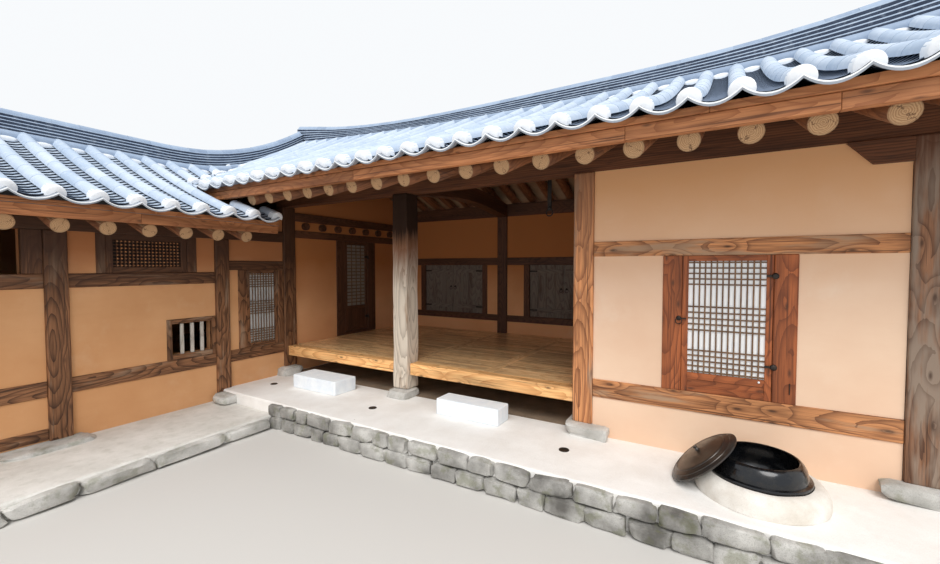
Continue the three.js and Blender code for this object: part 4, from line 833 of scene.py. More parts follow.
# The knob takes the paper's finish, with its painted glow.
white_knob = boss((0.265, 0.026, 0.62), 0.009, 0.009)
settle(white_knob, "room_window_knob", paper)


# The hall's left side: the frame of the side door, its leaf on two pintles, solid below and barred
# above, and over the lintel the dark ends of the wing's rafters, showing through the plaster.
DOOR_Y = (1.285, 1.865)
DOOR_X = (-6.05, -6.01)
timbers("side_door_timbers", [
    ((-6.155, 1.087, 0.339), (-6.005, 1.279, 2.066)),
    ((-6.155, 1.871, 0.339), (-6.005, 2.078, 2.066)),
    ((-6.154, 1.281, 0.339), (-6.006, 1.869, 0.397)),
    ((-6.155, 0.221, 2.067), (-6.004, 2.979, 2.19)),
], dark_pine, instead_of=["hall_door_frame"])


def clouded(name, rough, scale, first, second):
    """A finish of two tones in soft clouds."""
    finish, tree, surface = new_finish(name, rough)
    paint(tree, surface, mixed(tree, noise_of(tree, place_on_object(tree), scale), first, second))
    return finish


def round_bar(middle, radius, length, sides, turn=(0, 0, 0)):
    """A round bar, upright or turned."""
    pick_none()
    bpy.ops.mesh.primitive_cylinder_add(
        vertices=sides, radius=radius, depth=length, location=at(*middle), rotation=turn,
    )
    bpy.ops.object.transform_apply(location=True, rotation=True)
    bpy.ops.object.shade_smooth_by_angle(angle=math.radians(40))
    return bpy.context.object


def pin(z0, z1, radius):
    """An upright bar on the door's hinge line."""
    return round_bar((-5.99, 1.862, (z0 + z1) / 2), radius, z1 - z0, 16)


pintles = []
knuckles = []
for z in (0.6, 1.75):
    pintles += [
        block((-6.006, 1.858, z), (-5.982, 1.892, z + 0.016), 0.002),
        pin(z + 0.01, z + 0.07, 0.005),
    ]
    knuckles += [
        pin(z + 0.0163, z + 0.062, 0.011),
        block((-6.012, 1.792, z + 0.018), (-5.99, 1.862, z + 0.06), 0.002),
    ]
settle(join(pintles), "side_door_pintles", fitting_iron)
settle(join(knuckles), "side_door_knuckles", fitting_iron, "side_door")
door_bars = stiles((DOOR_Y[0], 0.402), (DOOR_Y[1], 2.061), 0.06, DOOR_X, "y", [(0.81, 0.87)])
door_panel = timber((-6.04, 1.34, 0.455), (-6.022, 1.81, 0.815), 0.003, 2)
settle(join([*door_bars, door_panel]), "side_door_leaf", dark_pine, "side_door", ["hall_door"])
DOOR_LEVELS = bands((0.93, 1.95, 17))
door_sticks = lattice((1.345, 1.805), (0.868, 2.002), 3, DOOR_LEVELS, 0.012, -6.014, "y", 0.018)
settle(join(door_sticks), "side_door_lattice", bar_pine, "side_door")
dim_paper = clouded("paper_in_shade", 0.9, 6.0, (0.22, 0.20, 0.17), (0.34, 0.31, 0.27))
papered("side_door_paper", (-6.038, 1.34, 0.866), (-6.033, 1.81, 2.004), dim_paper, "side_door")

STUB_STEP = 0.345
rafter_stubs = []
for number in range(8):
    stub = round_bar((-5.995, 0.42 + number * STUB_STEP, 2.262), 0.06, 0.09, 20, (0, math.pi / 2, 0))
    rafter_stubs.append(lay_grain(stub, 0))
settle(join(rafter_stubs), "wing_rafter_stubs", dark_pine)
timbers("hall_side_beam", [((-6.03, 0.222, 2.335), (-5.985, 2.978, 2.47))], dark_pine)


# The door between hall and room: a leaf like the side door's, solid below and barred above with
# paper behind. It stands shut in its frame of dark pine.
room_door = join([
    timber((-1.31, 1.087, 0.339), (-1.21, 1.28, 2.066), 0.004),
    timber((-1.31, 1.87, 0.339), (-1.21, 2.078, 2.066), 0.004),
    timber((-1.309, 1.279, 0.339), (-1.211, 1.871, 0.397), 0.004),
    timber((-1.31, 0.206, 2.067), (-1.21, 2.979, 2.19), 0.004),
    *stiles((1.281, 0.4), (1.869, 2.064), 0.06, (-1.29, -1.25), "y", [(0.81, 0.87)]),
    timber((-1.28, 1.34, 0.455), (-1.262, 1.81, 0.815), 0.003, 2),
    *lattice((1.341, 1.809), (0.868, 2.006), 3, DOOR_LEVELS, 0.012, -1.274, "y", 0.018),
])
settle(room_door, "room_door_timbers", dark_pine, instead_of=["room_door"])
papered("room_door_paper", (-1.272, 1.34, 0.866), (-1.266, 1.81, 2.004), dim_paper)


# The back of the hall: posts, rails and window posts of dark pine, and two pairs of board
# shutters, silver-brown, with a middle seam, battens and iron straps.
BAYS = [(-5.985, -3.73), (-3.53, -1.33), (-1.13, 1.165)]
BACK_FACES = [(2.995, 3.05), (3.11, 3.165)]
SHUTTERS = [(-5.45, -4.07), (-3.08, -1.78)]
BOARDS_IN_A_LEAF = 4
back_bars = [((x - 0.1, 2.98, PLATFORM_TOP), (x + 0.1, 3.18, 2.542)) for x in (-6.085, -3.63, -1.23, 1.265)]
rail_bars = []
for (x0, x1), (s0, s1) in zip(BAYS[:2], SHUTTERS):
    for y0, y1 in BACK_FACES:
        rail_bars.append(((x0, y0, 0.56), (x1, y1, 0.68)))
        rail_bars.append(((x0, y0, 1.63), (x1, y1, 1.77)))
    back_bars.append(((s0 - 0.11, 2.997, 0.68), (s0, 3.163, 1.63)))
    back_bars.append(((s1, 2.997, 0.68), (s1 + 0.11, 3.163, 1.63)))
rail_bars.append(((BAYS[2][0], 3.11, 0.288), (BAYS[2][1], 3.165, 0.466)))
rail_bars.append(((BAYS[2][0], 3.11, 1.7), (BAYS[2][1], 3.165, 1.844)))
timbers("back_posts", back_bars, dark_pine)
timbers("back_rails", rail_bars, dark_pine)
beam_low, beam_high = (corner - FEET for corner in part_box("back_frame"))
back_beam = [((beam_low.x, 3.0, 2.542), (2.2, 3.16, beam_high.z - 0.06))]
timbers("back_beam", back_beam, dark_pine, instead_of=["back_frame"])
shutter_wood = wood(
    "shutter_boards", (0.13, 0.09, 0.065), (0.045, 0.03, 0.022), 0.5, 0.75, 0.8, (0.19, 0.16, 0.135),
    1.3,
)
for side, (x0, x1) in zip(("left", "right"), SHUTTERS):
    middle = (x0 + x1) / 2
    seam = 0.003 if side == "right" else 0.0
    boards = []
    for left, right in ((x0 + 0.001, middle - seam), (middle + seam, x1 - 0.001)):
        for number in range(BOARDS_IN_A_LEAF):
            a = left + (right - left) * number / BOARDS_IN_A_LEAF
            b = left + (right - left) * (number + 1) / BOARDS_IN_A_LEAF
            boards.append(timber((a + 0.0005, 3.034, 0.677), (b - 0.0005, 3.066, 1.634), 0.005, 2))
        for z in (0.77, 1.48):
            boards.append(timber((left + 0.03, 3.022, z), (right - 0.03, 3.036, z + 0.07), 0.004, 0))
    settle(join(boards), f"shutter_boards_{side}", shutter_wood, instead_of=[f"shutters_{side}"])
    straps = []
    for x in (middle - 0.05, middle + 0.05):
        straps.append(ring_of((x, 3.014, 1.17), 0.03, 0.004))
        straps.append(boss((x, 3.02, 1.2), 0.02, 0.01))
    for x in (x0 + 0.06, x1 - 0.06):
        for z in (0.805, 1.515):
            straps.append(block((x - 0.09, 3.016, z - 0.014), (x + 0.09, 3.023, z + 0.014), 0.002))
    settle(join(straps), f"shutter_iron_{side}", fitting_iron)


# The wing's court side: posts, rails and window posts of brown pine in the ochre wall, with an
# upper lattice, a low window of three pale slats, a papered lattice and one open window.
WALL_X = -6.015
POST_FACE_X = -5.975
court_posts = [((-6.09, y - 0.095, foot), (POST_FACE_X, y + 0.095, 1.981))
               for y, foot in ((-0.96, -0.17), (-2.676, -0.24), (-4.4, -0.24))]
made = []
for number, (low, high) in enumerate(court_posts):
    made.append(lay_grain(hewn(block(low, high, 0.012, 2), 0.004, 30 + number), 2))
settle(join(made), "court_posts", wing_pine, instead_of=["wing_court_frame"])


def on_wall(y0, y1, z0, z1, proud=0.0):
    return (WALL_X - 0.06, y0, z0), (WALL_X + 0.015 + proud, y1, z1)


timbers("court_rails", [
    on_wall(-0.865, -0.001, 0.246, 0.409), on_wall(-0.865, -0.001, 1.55, 1.683),
    on_wall(-2.581, -1.055, 0.246, 0.409), on_wall(-2.581, -1.055, 1.373, 1.524),
    on_wall(-4.305, -2.771, 0.246, 0.409), on_wall(-4.305, -2.771, 1.373, 1.524),
    on_wall(-4.305, -2.772, -0.2, -0.085),
    ((-6.092, -4.47, 1.98), (-5.985, -0.001, 2.148)),
], wing_pine, instead_of=["wing_court_beam"])
wall_feet = join([
    block((-6.07, y0, -0.252), (WALL_X - 0.0005, y1, top), 0.001)
    for y0, y1, top in ((-1.14, -0.985, -0.106), (-2.851, -2.501, -0.146), (-4.575, -4.225, -0.146))
])
settle(wall_feet, "court_wall_feet", wing_plaster)
timbers("court_window_posts", [
    on_wall(-0.729, -0.6, 0.41, 1.549, -0.003), on_wall(-0.09, -0.003, 0.41, 1.549, -0.003),
    on_wall(-2.34, -2.25, 1.525, 1.979, -0.003), on_wall(-1.4, -1.285, 1.525, 1.979, -0.003),
    on_wall(-3.92, -3.83, 1.525, 1.979, -0.003), on_wall(-2.93, -2.7705, 1.525, 1.979, -0.003),
], wing_pine, instead_of=["open_window_post_left", "open_window_post_right"])
old_slat = wood(
    "slat_pine", (0.36, 0.27, 0.19), (0.18, 0.12, 0.08), 0.4, 0.75, 0.8, (0.60, 0.56, 0.50), 1.0,
)
timbers("slat_window_frame", [
    on_wall(-1.657, -1.597, 0.4095, 0.926), on_wall(-1.105, -1.0555, 0.4095, 0.926),
    on_wall(-1.598, -1.104, 0.4095, 0.469, -0.001), on_wall(-1.598, -1.104, 0.866, 0.926, -0.001),
], wing_pine, instead_of=["wing_slat_window"])
slats = []
for number in (1, 2, 3):
    y = -1.597 + 0.492 * number / 4
    slats.append(((-6.045, y - 0.021, 0.4695), (WALL_X, y + 0.021, 0.8655)))
timbers("window_slats", slats, old_slat)
UPPER_LEVELS = bands((1.612, 1.892, 8))
STUD = 0.0075
upper = [
    *stiles((-2.25, 1.524), (-1.4, 1.98), 0.07, (-6.06, -6.02), "y"),
    *lattice((-2.18, -1.47), (1.594, 1.91), 17, UPPER_LEVELS, 0.012, -6.024, "y", 0.011),
]
settle(join(upper), "upper_lattice", wing_pine, instead_of=["wing_upper_window"])
studs = []
for y in (-2.18 + 0.71 * number / 18 for number in range(1, 18)):
    for z in UPPER_LEVELS:
        studs.append(((-6.0125, y - STUD, z - STUD), (-6.008, y + STUD, z + STUD)))
timbers("upper_lattice_crossings", studs, rail_pine, edge=0.0015)
# Painted shade: a near-black sheet behind the upper lattice stands for the dark inside.
shade_behind_bars = clouded("painted_shade_behind_bars", 0.95, 5.0, (0.012, 0.008, 0.006), (0.03, 0.02, 0.015))
papered("upper_lattice_shade_sheet", (-6.056, -2.182, 1.59), (-6.05, -1.468, 1.912), shade_behind_bars)
side_leaf = stiles((-0.6, 0.409), (-0.09, 1.55), 0.055, (-6.06, -6.02), "y")
settle(join(side_leaf), "court_window_leaf", wing_pine, instead_of=["wing_lattice_window"])
court_levels = bands((0.48, 0.66, 6), (0.9, 1.08, 6), (1.3, 1.48, 6))
court_sticks = lattice((-0.545, -0.145), (0.464, 1.495), 8, court_levels, 0.014, -6.024, "y")
settle(join(court_sticks), "court_window_lattice", bar_pine)
shaded_paper = clouded("paper_under_eave", 0.9, 8.0, (0.56, 0.58, 0.58), (0.70, 0.71, 0.70))
papered("court_window_paper", (-6.05, -0.547, 0.462), (-6.044, -0.143, 1.497), shaded_paper)


# The outer sides of wing and gable end, out of the photograph: the same frame of posts and rails,
# plain, with the plaster between.
outer_x = (-8.805, -8.725)
end_y = (-4.49, -4.41)
back_y = (3.09, 3.17)
outer_bars = []
for z0, z1 in ((0.246, 0.409), (1.373, 1.524)):
    outer_bars.append(((outer_x[0], -4.489, z0), (outer_x[1], 3.169, z1)))
    outer_bars.append(((outer_x[0] + 0.001, end_y[0] + 0.001, z0), (-6.157, end_y[1], z1)))
    outer_bars.append(((outer_x[0] + 0.001, back_y[0], z0), (-6.187, back_y[1] - 0.001, z1)))
for y, top in ((-4.4, 1.95), (-2.3, 1.95), (-0.3, 1.94), (1.4, 2.1), (3.0, 2.25)):
    outer_bars.append(((outer_x[0] - 0.002, y - 0.095, WING_PLATFORM_TOP), (outer_x[1], y + 0.095, top)))
outer_bars.append(((outer_x[0] - 0.001, 3.0, WING_PLATFORM_TOP), (-8.6, back_y[1] + 0.002, 2.25)))
outer_bars.append(((outer_x[0] - 0.001, end_y[0] - 0.002, WING_PLATFORM_TOP), (-8.63, end_y[1], 1.98)))
outer_bars.append(((outer_x[0], end_y[0], 1.98), (-6.157, end_y[1], 2.148)))
outer_bars.append(((-7.495, end_y[0] - 0.002, WING_PLATFORM_TOP), (-7.305, end_y[1], 2.66)))
timbers("wing_outer_timbers", outer_bars, wing_pine, instead_of=["wing_outer_frame"])
gable_x = (1.275, 1.35)
timbers("gable_end_timbers", [
    ((gable_x[0], 0.212, 0.288), (gable_x[1], 2.978, 0.466)),
    ((gable_x[0], 0.212, 1.7), (gable_x[1], 2.978, 1.844)),
    ((gable_x[0], 0.212, 2.482), (gable_x[1], 2.978, 2.702)),
    ((gable_x[0], 1.46, 0.29), (gable_x[1] + 0.002, 1.64, 2.483)),
    ((gable_x[0], 1.475, 2.7), (gable_x[1], 1.625, 3.168)),
], rail_pine, instead_of=["end_wall_frame"])
barge = wood("barge_pine", (0.30, 0.14, 0.065), (0.12, 0.05, 0.022), 0.5, 0.7, on_object="y")
dress(barge, "main_barge_board")
dress(beam_along_x, "wing_barge_board")


# The rafters: peeled pine poles, brown along their length and straw-coloured where they are sawn,
# with the rings and drying cracks of the cut. Between them shows the clay of the roof.
MAIN_RIDGE_Y = 1.55
MAIN_REACH = 2.8
WING_X = -7.4
WING_REACH = 2.35
VALLEY_FOOT = (-6.19, -1.25)
VALLEY_HEAD = (-7.4, 0.2)
SWEEP_START = -1.0
rafter_side = wood("rafter_pine", (0.27, 0.105, 0.042), (0.12, 0.042, 0.018), 0.4, 0.6)
rafter_end, tree, surface = new_finish("sawn_rafter_end", 0.85)
cut = attribute_of(tree, "cut_face", "Vector")
across, upwards, which_pole = parts_of(tree, cut)
wobble = noise_of(tree, stretched(tree, cut, 3.0, 3.0, 1.0), 1.0, 2.0)
flat = stretched(tree, cut, 1.0, 1.0, 0.0)
distance = put(tree, "ShaderNodeVectorMath", {"operation": "LENGTH"}, i_0=flat).outputs["Value"]
rings = math_of(tree, "SINE", times(tree, plus(tree, distance, times(tree, wobble, 0.25)), 42.0))
tone = mixed(tree, spread(tree, rings, -0.6, 1.0), (0.54, 0.34, 0.18), (0.36, 0.20, 0.095))
angle = math_of(tree, "ARCTAN2", upwards, across)
crack_angle = plus(tree, times(tree, angle, 2.0), times(tree, wobble, 5.0))
crack_wave = math_of(tree, "SINE", plus(tree, crack_angle, times(tree, which_pole, 1.7)))
cracks = times(tree, spread(tree, crack_wave, 0.975, 0.998), spread(tree, distance, 0.08, 0.3))
tone = mixed(tree, cracks, tone, (0.14, 0.07, 0.035))
tone = mixed(tree, spread(tree, distance, 0.8, 1.0, 0.0, 0.7), tone, (0.26, 0.15, 0.08))
paint(tree, surface, tone)
raise_surface(tree, surface, math_of(tree, "SUBTRACT", rings, times(tree, cracks, 4.0)), 0.2, 0.002)


def pole(foot, head, radius, seed):
    """A round rafter between two points, a little crooked and a little uneven in thickness."""
    foot, head = at(*foot), at(*head)
    length = (head - foot).length
    pick_none()
    bpy.ops.mesh.primitive_cylinder_add(vertices=18, radius=radius, depth=length, location=(0, 0, 0))
    piece = bpy.context.object
    cut_across(2, -length / 2, length / 2, 4)
    along = (head - foot).normalized()
    turn = along.to_track_quat("Z", "X").to_matrix()
    points = points_of(piece)
    cut_face = np.zeros_like(points)
    cut_face[:, :2] = points[:, :2] / radius
    cut_face[:, 2] = seed
    placed = []
    for point in points:
        share = point[2] / length + 0.5
        sway = noise.noise_vector(Vector((share * 2.0, seed, 0))) * 0.003 * (share * (1 - share) * 4)
        thick = 1 + 0.03 * noise.noise(Vector((share * 3, seed * 2, 5)))
        spot = Vector((point[0] * thick + sway.x, point[1] * thick + sway.y, point[2]))
        placed.append(turn @ spot + (foot + head) / 2)
    lay_grain(piece, 2)
    set_points(piece, placed)
    kept = piece.data.attributes.new("cut_face", "FLOAT_VECTOR", "POINT")
    kept.data.foreach_set("vector", cut_face.astype(np.float32).ravel())
    ends = [abs(face.normal.dot(along)) > 0.9 for face in piece.data.polygons]
    piece.data.polygons.foreach_set("use_smooth", [not end for end in ends])
    piece.data.attributes.new("sawn", "INT", "FACE").data.foreach_set("value", [int(end) for end in ends])
    return piece


def settle_rafters(name, poles):
    """Joins poles as one piece, with the sawn finish on their ends."""
    piece = settle(join(poles), name, [rafter_side, rafter_end])
    sawn = [mark.value for mark in piece.data.attributes["sawn"].data]
    piece.data.polygons.foreach_set("material_index", sawn)


def clamp(value):
    return min(1.0, max(0.0, value))


MAIN_DECK_FOOT = 2.62
WING_DECK_FOOT = 2.15


def main_deck(y):
    """The top of the boards over the main rafters, rising to the ridge from near their feet."""
    return MAIN_DECK_FOOT + 0.385 * (2.61 - abs(y - MAIN_RIDGE_Y))


def wing_deck(x):
    return WING_DECK_FOOT + 0.372 * (2.09 - abs(x - WING_X))


def hip_y(x):
    return MAIN_RIDGE_Y + (WING_X - x) * MAIN_REACH / WING_REACH


def hip_x(y):
    return WING_X - (y - MAIN_RIDGE_Y) * WING_REACH / MAIN_REACH


def swept_up(x, y, level, level_head, main_height):
    """A height on the wing, which sweeps up from its own level to the main roof's at the hip and
    at the main ridge. level_head is the wing's own height under the main ridge."""
    if x <= WING_X:
        sweep = clamp((y - SWEEP_START) / (hip_y(x) - SWEEP_START)) ** 2
        return level + (main_height(x, hip_y(x)) - level) * sweep
    sweep = clamp((y - SWEEP_START) / (MAIN_RIDGE_Y - SWEEP_START)) ** 2
    rise = main_height(WING_X, MAIN_RIDGE_Y) - level_head
    return level + rise * sweep * clamp(1 - (x - WING_X) / WING_REACH)


def wing_deck_at(x, y):
    """The top of the wing's deck."""
    return swept_up(x, y, wing_deck(x), wing_deck(WING_X), lambda x, y: main_deck(y))


RAFTER_R = 0.0745
RAFTER_STEP = 0.355
SINK = 0.184
COURT_CORNER_X = -5.3
HIP_GAP = 0.12
SHORTEST = 0.3
poles = []
for number in range(32):
    x = 2.19 if number == 0 else 1.905 - (number - 1) * RAFTER_STEP
    if x > -5.95:
        foot = -1.013 if x > COURT_CORNER_X else -0.463
        ends = [(x, y, main_deck(y) - SINK) for y in (foot, MAIN_RIDGE_Y)]
        poles.append(pole(*ends, RAFTER_R, number))
    head = max(MAIN_RIDGE_Y, hip_y(x) + HIP_GAP)
    back = MAIN_RIDGE_Y + 2.568
    if head < back - SHORTEST:
        ends = [(x, y, main_deck(y) - SINK) for y in (back, head)]
        poles.append(pole(*ends, RAFTER_R, number + 50))
settle_rafters("main_rafter_poles", poles)
WING_RAFTER_R = 0.0725
WING_RAFTER_STEP = 0.364
WING_SINK = 0.18
poles = []
for number in range(26):
    y = -4.996 + number * WING_RAFTER_STEP
    if y < -0.65:
        ends = [(x, y, wing_deck_at(x, y) - WING_SINK) for x in (-5.352, WING_X)]
        poles.append(pole(*ends, WING_RAFTER_R, number + 100))
    low_x = -9.448
    high_x = WING_X if y < MAIN_RIDGE_Y else hip_x(y) - HIP_GAP
    if high_x > low_x + SHORTEST:
        low_z = wing_deck_at(low_x, y) - WING_SINK
        high_z = wing_deck_at(high_x, y) - WING_SINK
        hump = (low_z + high_z) / 2 - (wing_deck_at((low_x + high_x) / 2, y) - WING_SINK)
        poles.append(pole((low_x, y, low_z), (high_x, y, high_z - 1.2 * hump), WING_RAFTER_R, number + 150))
settle_rafters("wing_rafter_poles", poles)
roof_clay = plaster("roof_clay", (0.40, 0.26, 0.15), (0.24, 0.135, 0.07), (0.50, 0.38, 0.26))
dress(roof_clay, "main_rafters", "wing_rafters")


# From one rafter of the hall hangs a forged iron strap with a boss and a ring, which once held up
# a folding door.
hanger = [
    block((-1.835, 0.594, 2.27), (-1.785, 0.606, 2.66), 0.002),
    boss((-1.81, 0.594, 2.3), 0.022, 0.012),
    ring_of((-1.81, 0.6, 2.245), 0.04, 0.008),
]
settle(join(hanger), "door_hanger_iron", fitting_iron)


# The heights of the roofs. Each face hangs a little between ridge and eave, the main roof lifts
# towards its ends, and the wing's sweeps up to meet the hip. Tiles and boards are set by them.
MAIN_EAVE = 2.72
WING_EAVE = 2.30
LEVEL_X = -1.2
TO_LEFT_END = 8.55
TO_RIGHT_END = 3.55


def hollow(eave, reach, away):
    run = reach - away
    return eave + 0.33 * run + 0.036 * run * run


def eave_lift(x):
    return 0.2 * clamp((LEVEL_X - x) / TO_LEFT_END) ** 5 + 0.2 * clamp((x - LEVEL_X) / TO_RIGHT_END) ** 4


def main_crown(x, y):
    away = abs(y - MAIN_RIDGE_Y)
    up = 1 - away / MAIN_REACH
    ridge_lift = 0.27 * clamp((LEVEL_X - x) / (LEVEL_X - WING_X)) ** 2
    ridge_lift += 0.25 * clamp((x - LEVEL_X) / TO_RIGHT_END) ** 3
    return hollow(MAIN_EAVE, MAIN_REACH, away) + eave_lift(x) * (1 - up) + ridge_lift * up


def wing_crown(x, y):
    level = hollow(WING_EAVE, WING_REACH, abs(x - WING_X))
    return swept_up(x, y, level, hollow(WING_EAVE, WING_REACH, 0), main_crown)


CROWNS = {"main_roof": main_crown, "wing_roof": wing_crown}


# The eave boards along the rafters' ends: one below the other, orange-brown pine in lengths butted
# together. The upper one is cut to the sweep of the tiles.
eave_pine = wood("eave_pine", (0.52, 0.215, 0.085), (0.29, 0.10, 0.036), 0.8, 0.6, rings=1.0)


def bowed(low, high, axis, cuts, rise, top_only=False):
    """A long timber, cut across and lifted at each cut, all of it or only its upper edge."""
    piece = block(low, high, 0.003)
    first, last = at(*low), at(*high)
    cut_across(axis, first[axis], last[axis], cuts)
    lay_grain(piece, axis)
    points = points_of(piece)
    for point in points:
        if not top_only or point[2] > (first[2] + last[2]) / 2:
            point[2] += rise(point[axis] - FEET[axis])
    set_points(piece, points)
    return piece


def lengths(start, stop, joints):
    """Neighbouring boards between joints, a hair apart."""
    marks = [start, *joints, stop]
    return [(a + 0.001, b - 0.001) for a, b in zip(marks, marks[1:])]


def level(run):
    return 0.0


def outer_sweep(y):
    """How far the wing's outer eave has risen at a place along it."""
    return wing_deck_at(-9.49, y) - WING_DECK_FOOT


EAVE_LINES = [
    ("x", -6.0, 2.3, (-3.28, -0.62, 0.55), (-1.125, -1.062), (2.484, 2.582), level),
    ("x", -6.1, 2.31, (-4.1, -2.05, -0.1, 1.5), (-1.142, -1.1), (2.585, 2.634), eave_lift),
    ("x", -9.55, 2.3, (-6.4, -2.6), (4.162, 4.225), (2.494, 2.582), level),
    ("x", -9.55, 2.31, (-7.2, -4.4, -1.2), (4.2, 4.242), (2.585, 2.634), eave_lift),
    ("y", -5.25, -0.61, (-3.6, -2.2), (-5.308, -5.245), (2.05, 2.152), level),
    ("y", -5.26, -0.61, (-4.2, -1.7), (-5.27, -5.228), (2.155, 2.205), level),
]
eave_boards = []
for along, start, stop, joints, faces, edges, rise in EAVE_LINES:
    for marks in lengths(start, stop, joints):
        corners = zip(marks, faces, edges) if along == "x" else zip(faces, marks, edges)
        cuts = 2 if rise is level else 8
        eave_boards.append(bowed(*corners, "xy".index(along), cuts, rise, top_only=rise is eave_lift))
eave_boards.append(bowed((-9.555, -5.25, 2.05), (-9.492, 4.2, 2.17), 1, 24, outer_sweep))
settle(join(eave_boards), "eave_boards", eave_pine)


# The roofs: a bed of clay, on it troughs of wide concave tiles in close steps, and over each joint
# a roll of half-round tiles. Grey fired clay that shines pale blue, with lime at the rolls' ends.
def fired_clay(name, light, dark, white, rim, rough=0.9, shine=0.08):
    """Tile: every one its own grey, dusted white here and there, with its lower edge in another tone, and
    painted shadow, near black, on faces marked -1.
    """
    finish, tree, surface = new_finish(name, rough)
    surface.inputs["Specular IOR Level"].default_value = shine
    place = place_on_object(tree)
    edge = attribute_of(tree, "edge")
    clouds = spread(tree, noise_of(tree, place, 6.0, 6.0, 0.65), 0.3, 0.7, 0.0, 0.35)
    share = plus(tree, times(tree, attribute_of(tree, "tint"), 0.65), clouds)
    tone = mixed(tree, share, dark, light)
    dust = spread(tree, noise_of(tree, place, 14.0, 7.0, 0.7), 0.52, 0.72, 0.0, 0.35)
    tone = mixed(tree, dust, tone, white)
    tone = mixed(tree, edge, tone, rim)
    # Painted shadow: faces marked -1, under a trough's rim, go near black for the gap below its edge.
    tone = mixed(tree, spread(tree, edge, -1.0, -0.5, 1.0, 0.0), tone, (0.02, 0.025, 0.035))
    paint(tree, surface, tone)
    raise_surface(tree, surface, noise_of(tree, place, 90.0, 5.0, 0.6), 0.15, 0.003)
    return finish


roll_tile = fired_clay(
    "roll_tile", (0.58, 0.66, 0.77), (0.38, 0.48, 0.62), (0.84, 0.88, 0.93), (0.34, 0.42, 0.53), 0.6, 0.3,
)
trough_tile = fired_clay(
    "trough_tile", (0.52, 0.60, 0.70), (0.36, 0.44, 0.55), (0.70, 0.75, 0.82), (0.16, 0.20, 0.27),
)
lip_tile = fired_clay(
    "lip_tile", (0.42, 0.46, 0.52), (0.28, 0.31, 0.36), (0.56, 0.60, 0.65), (0.86, 0.89, 0.92),
)
ridge_tile = fired_clay(
    "ridge_tile", (0.10, 0.135, 0.20), (0.03, 0.04, 0.065), (0.32, 0.38, 0.46), (0.5, 0.56, 0.64),
)
lime = stony("white_lime", (0.90, 0.92, 0.95), (0.80, 0.84, 0.89), (0.6, 0.62, 0.66), 0.0, 0.12, 0.85, 6.0)
foot_tile = fired_clay(
    "ridge_foot_tile", (0.36, 0.45, 0.58), (0.22, 0.29, 0.41), (0.5, 0.6, 0.72), (0.06, 0.08, 0.12), 0.6, 0.3,
)


# The tiles' shapes, each modelled once with a width and a length of 1: the half-round roll, the
# concave trough, the lip that ends a trough at the eave, and the lime plug in a roll's mouth.
def lying_bar(sides):
    """A round bar of radius and length 1, lying along Y."""
    pick_none()
    bpy.ops.mesh.primitive_cylinder_add(
        vertices=sides, radius=1, depth=1, rotation=(math.pi / 2, 0, 0), location=(0, 0.5, 0),
    )
    bpy.ops.object.transform_apply(location=True, rotation=True)
    return bpy.context.object


def shape_of(piece, height=1.0, steps=0.0, rim=None):
    """The piece as (share across, share along, height) points, faces, and how far each is a rim."""
    points = points_of(piece)
    heights = points[:, 2] * height + steps * (1 - points[:, 1])
    shape = np.stack([points[:, 0], points[:, 1], heights], 1)
    faces = [tuple(face.vertices) for face in piece.data.polygons]
    if rim is None:
        rim = [1.0 if face.normal.y < -0.7 else 0.0 for face in piece.data.polygons]
    bpy.data.objects.remove(piece)
    return shape, faces, rim


def piece_from(name, points, faces, tints=None, edges=None):
    """A piece from points and faces. Each face keeps a tint, and how far it is a rim."""
    mesh = bpy.data.meshes.new(name)
    mesh.from_pydata(points.tolist(), [], faces)
    for attribute, values in (("tint", tints), ("edge", edges)):
        kept = mesh.attributes.new(attribute, "FLOAT", "FACE")
        if values is not None:
            kept.data.foreach_set("value", values.astype(np.float32))
    piece = bpy.data.objects.new(name, mesh)
    bpy.context.collection.objects.link(piece)
    pick(piece)
    return piece


def lay(name, shape, places, seed, finish):
    """Copies of a shape laid on places, each given by its four corners: two low, then two high."""
    points, faces, front = shape
    corners = np.array(places, dtype=float)
    across = points[:, 0][None, :, None]
    along = points[:, 1][None, :, None]
    low = corners[:, 0][:, None] * (0.5 - across) + corners[:, 1][:, None] * (0.5 + across)
    high = corners[:, 2][:, None] * (0.5 - across) + corners[:, 3][:, None] * (0.5 + across)
    side = corners[:, 1] - corners[:, 0]
    slope = (corners[:, 2] + corners[:, 3] - corners[:, 0] - corners[:, 1]) / 2
    up = np.cross(side, slope)
    up *= np.sign(up[:, 2:3]) / np.linalg.norm(up, axis=1, keepdims=True)
    flipped = np.cross(side, slope)[:, 2] < 0
    laid = low * (1 - along) + high * along + up[:, None] * points[:, 2][None, :, None]
    laid += np.array(FEET)
    count = len(points)
    all_faces = []
    for number in range(len(corners)):
        shift = number * count
        for face in faces:
            turned_face = tuple(v + shift for v in face)
            all_faces.append(turned_face[::-1] if flipped[number] else turned_face)
    tints = np.repeat(np.random.default_rng(seed).random(len(corners)), len(faces))
    piece = piece_from(name, laid.reshape(-1, 3), all_faces, tints, np.tile(front, len(corners)))
    bpy.ops.object.shade_smooth_by_angle(angle=math.radians(35))
    return settle(piece, name, finish)


ROLL_R = 0.075
ROLL_DROP = 0.073
ROLL_TAPER = 0.025
ROLL_LENGTH = 0.36
roll_model = lying_bar(16)
edit_all()
bpy.ops.mesh.bisect(plane_co=(0, 0, 0), plane_no=(0, 0, 1), clear_inner=True)
leave_edit()
points = points_of(roll_model)
points[:, 0] *= 1 - ROLL_TAPER * points[:, 1]
points[:, 2] *= 1 - ROLL_TAPER * points[:, 1]
set_points(roll_model, points)
roll_shape = shape_of(roll_model, ROLL_R)


